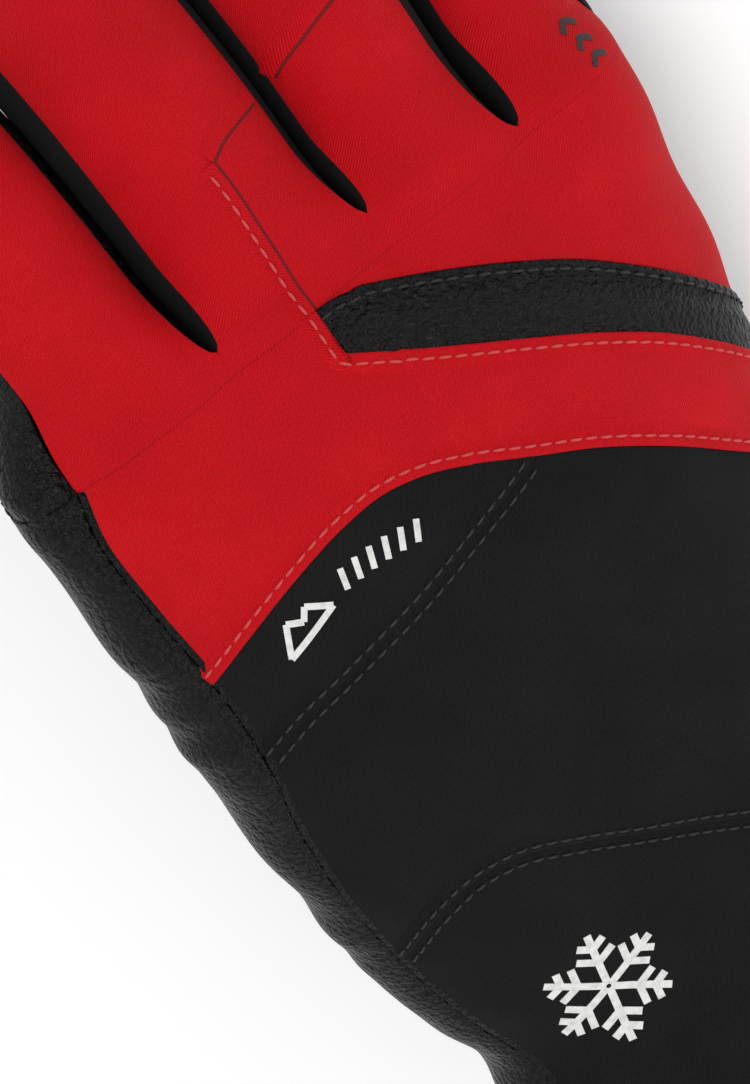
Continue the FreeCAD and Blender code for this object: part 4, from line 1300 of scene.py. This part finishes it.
# ======================================================================================
# Wrist strap: an anchor of webbing sewn over the little-finger side, a webbing tab with a
# moulded rubber pull, and a hook patch that grips the loop patch sewn on the cuff.
def moulded(name, colour, light, grain, depth, rough, speck=0.35, kind="noise"):
    """Surface from Object coordinates: grain as noise or cells, in colour, bump and gloss."""
    m, nodes, links, skin_ = tree_of(name)
    where = node(nodes, "ShaderNodeTexCoord")
    if kind == "noise":
        g = node(nodes, "ShaderNodeTexNoise", Scale=1.0 / grain, Detail=4.0, Roughness=0.6)
        source = g.outputs["Fac"]
    else:
        g = node(nodes, "ShaderNodeTexVoronoi", feature="F1", Scale=1.0 / grain)
        g.inputs["Randomness"].default_value = 0.35
        source = g.outputs["Distance"]
    links.new(where.outputs["Object"], g.inputs["Vector"])
    links.new(ramp(nodes, links, source, [(0.2, colour), (0.8, light)]), skin_.inputs["Base Color"])
    worn = node(nodes, "ShaderNodeTexNoise", Scale=70.0, Detail=3.0)
    links.new(where.outputs["Object"], worn.inputs["Vector"])
    gloss = node(nodes, "ShaderNodeMapRange")
    gloss.inputs["To Min"].default_value = rough - 0.08
    gloss.inputs["To Max"].default_value = rough + 0.10
    links.new(worn.outputs["Fac"], gloss.inputs["Value"])
    links.new(gloss.outputs[0], skin_.inputs["Roughness"])
    b = node(nodes, "ShaderNodeBump", Strength=0.8, Distance=depth)
    links.new(source, b.inputs["Height"])
    links.new(b.outputs[0], skin_.inputs["Normal"])
    skin_.inputs["Specular IOR Level"].default_value = speck
    return m


RUBBER = moulded("pull_rubber", (0.006, 0.006, 0.0065), (0.014, 0.014, 0.015), 0.0006, 0.00005, 0.5)
STRAP_LOW, STRAP_HIGH, PEEL, TAB_TIP = -123.0, -105.0, 10.0, -34.0
TAB_TOP, ANCHOR_TOP, PULL_TOP = 3.1, 1.55, 3.7
SEW_LOW, SEW_HIGH = STRAP_LOW + 1.6, STRAP_HIGH - 1.6


def strap_piece(name, q0, q1, inset, top, thick, material, lip, wave=None, n=70):
    """Band across the cuff between two distances round it, its top at a set height."""
    y = np.linspace(STRAP_LOW + inset, STRAP_HIGH - inset, 40)[:, None]
    q = np.linspace(float(q0), float(q1), n)[None]
    p = skin(q, y, top + (wave(q, y) if wave else 0))
    return sheet(name, p, material, thick=thick, lip=lip, uv=flat_weave(p))


def q_point(x):
    return q_over(np.array(x), np.array(-114.0))


anchor_end = q_side(np.array(-114.0), True, 38.4)
place(strap_piece("strap_anchor_webbing", q_point(PEEL - 5), anchor_end, 0.0, ANCHOR_TOP, 1.3,
                  WEBBING, 0.5),
      "glove", "webbing", "strap_anchor")
place(strap_piece("strap_tab_webbing", q_point(TAB_TIP), q_point(PEEL), 0.0, TAB_TOP, 1.2, WEBBING,
                  0.5),
      "strap", "webbing", "strap_tab")
pull_end = q_point(TAB_TIP - 9)
place(strap_piece("strap_pull_rubber", pull_end, q_point(TAB_TIP - 0.1), 2.0, PULL_TOP, 2.2,
                  RUBBER, 0.9, wave=lambda q, y: 0.38 * np.cos((q - pull_end) * 3.6), n=120),
      "strap", "pull_rubber", "strap_pull")
rows = []
for x0, x1, y0, y1 in ((-32, 8, SEW_LOW, SEW_LOW), (8, 8, SEW_LOW, SEW_HIGH),
                       (8, -32, SEW_HIGH, SEW_HIGH), (-32, -32, SEW_HIGH, SEW_LOW),
                       (2, 2, SEW_LOW, SEW_HIGH)):
    path = even(np.array([(q_point(x0), y0), (q_point(x1), y1)]), 90)
    rows.append(row_on(lambda q, y: skin(q, y, TAB_TOP), path, 0.0, 0.06))
place(stitches("stitches_strap", rows, BLACK_THREAD, pitch=2.2, long=1.7), "strap", "webbing")
rows = []
for y0 in (SEW_LOW, SEW_HIGH):
    path = even(np.array([(q_point(12), y0), (anchor_end - 1.5, y0)]), 90)
    rows.append(row_on(lambda q, y: skin(q, y, ANCHOR_TOP), path, 0.0, 0.06))
place(stitches("stitches_anchor", rows, BLACK_THREAD, pitch=2.2, long=1.7), "glove", "webbing")


# ======================================================================================
# Hanging loop at the hem: woven webbing bent into a ring and sewn into the binding.
LOOP_MID, LOOP_Y, LOOP_RISE = -7.0, -139.0, 6.485      # centre of the ring, over the cuff's floor
LOOP_HALF_LONG, LOOP_HALF_TALL, LOOP_HALF_WIDE, LOOP_HALF_THICK = 7.2, 6.0, 4.0, 0.6
k = np.linspace(0, 2 * math.pi, 120, endpoint=False)[:, None]
b = np.linspace(0, 2 * math.pi, 24, endpoint=False)[None]
wide_, thick_ = round_box(b, LOOP_HALF_WIDE, LOOP_HALF_THICK, 6.0)
skin_out = thick_ - LOOP_HALF_THICK
p_y, p_z = round_box(k, LOOP_HALF_LONG + skin_out, LOOP_HALF_TALL + skin_out, 3.2)
cuff_floor = float(section(np.array(-math.pi / 2), np.array(HEM))[2])
p = np.stack(np.broadcast_arrays(LOOP_MID + wide_ + 0.3 * np.sin(k), LOOP_Y + p_y,
                                 cuff_floor + LOOP_RISE + p_z), -1)
uv = np.stack(np.broadcast_arrays(wide_, k * 6.6), -1)
place(ring_mesh("hang_loop_webbing", p, BIND, uv), "glove", "webbing", "hang_loop")


# ======================================================================================
# Finishes of the pieces whose shape is right as designed: the moulded clip, its web, the
# thumb's collar, the hook and loop patches, and the padding, film and lining inside.
CLIP = moulded("clip_plastic", (0.010, 0.010, 0.011), (0.017, 0.017, 0.018), 0.0008, 0.00003, 0.38)
HOOKS = moulded("hook_tape", (0.004, 0.004, 0.004), (0.020, 0.020, 0.021), 0.0009, 0.00030, 0.5,
                kind="cells")
LOOPS = moulded("loop_tape", (0.003, 0.003, 0.0032), (0.016, 0.016, 0.017), 0.0007, 0.00040, 0.9, 0.05)
WEB = moulded("clip_webbing", (0.003, 0.003, 0.003), (0.018, 0.018, 0.018), 0.0007, 0.00025, 0.85, 0.08)
WADDING = moulded("wadding", (0.42, 0.42, 0.41), (0.72, 0.72, 0.70), 0.0016, 0.00090, 0.9, 0.05)
FILM = moulded("waterproof_film", (0.50, 0.52, 0.54), (0.66, 0.68, 0.70), 0.0030, 0.00020, 0.42)
FLEECE = moulded("fleece_lining", (0.010, 0.010, 0.011), (0.040, 0.040, 0.042), 0.0011, 0.00080,
                 0.95, 0.04)


def finish_node(name, material):
    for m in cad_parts[name].material_slots:
        m.material = material


for node_name, material in (("pair_clip", CLIP), ("clip_web", WEB), ("strap_hook_patch", HOOKS),
                            ("strap_loop_patch", LOOPS), ("thumb_collar", LEATHER)):
    finish_node(node_name, material)
for layer, material in (("insulation", WADDING), ("membrane", FILM), ("lining", FLEECE)):
    for part in ("hand", "index", "middle", "ring", "little", "thumb"):
        finish_node(part + "_" + layer, material)
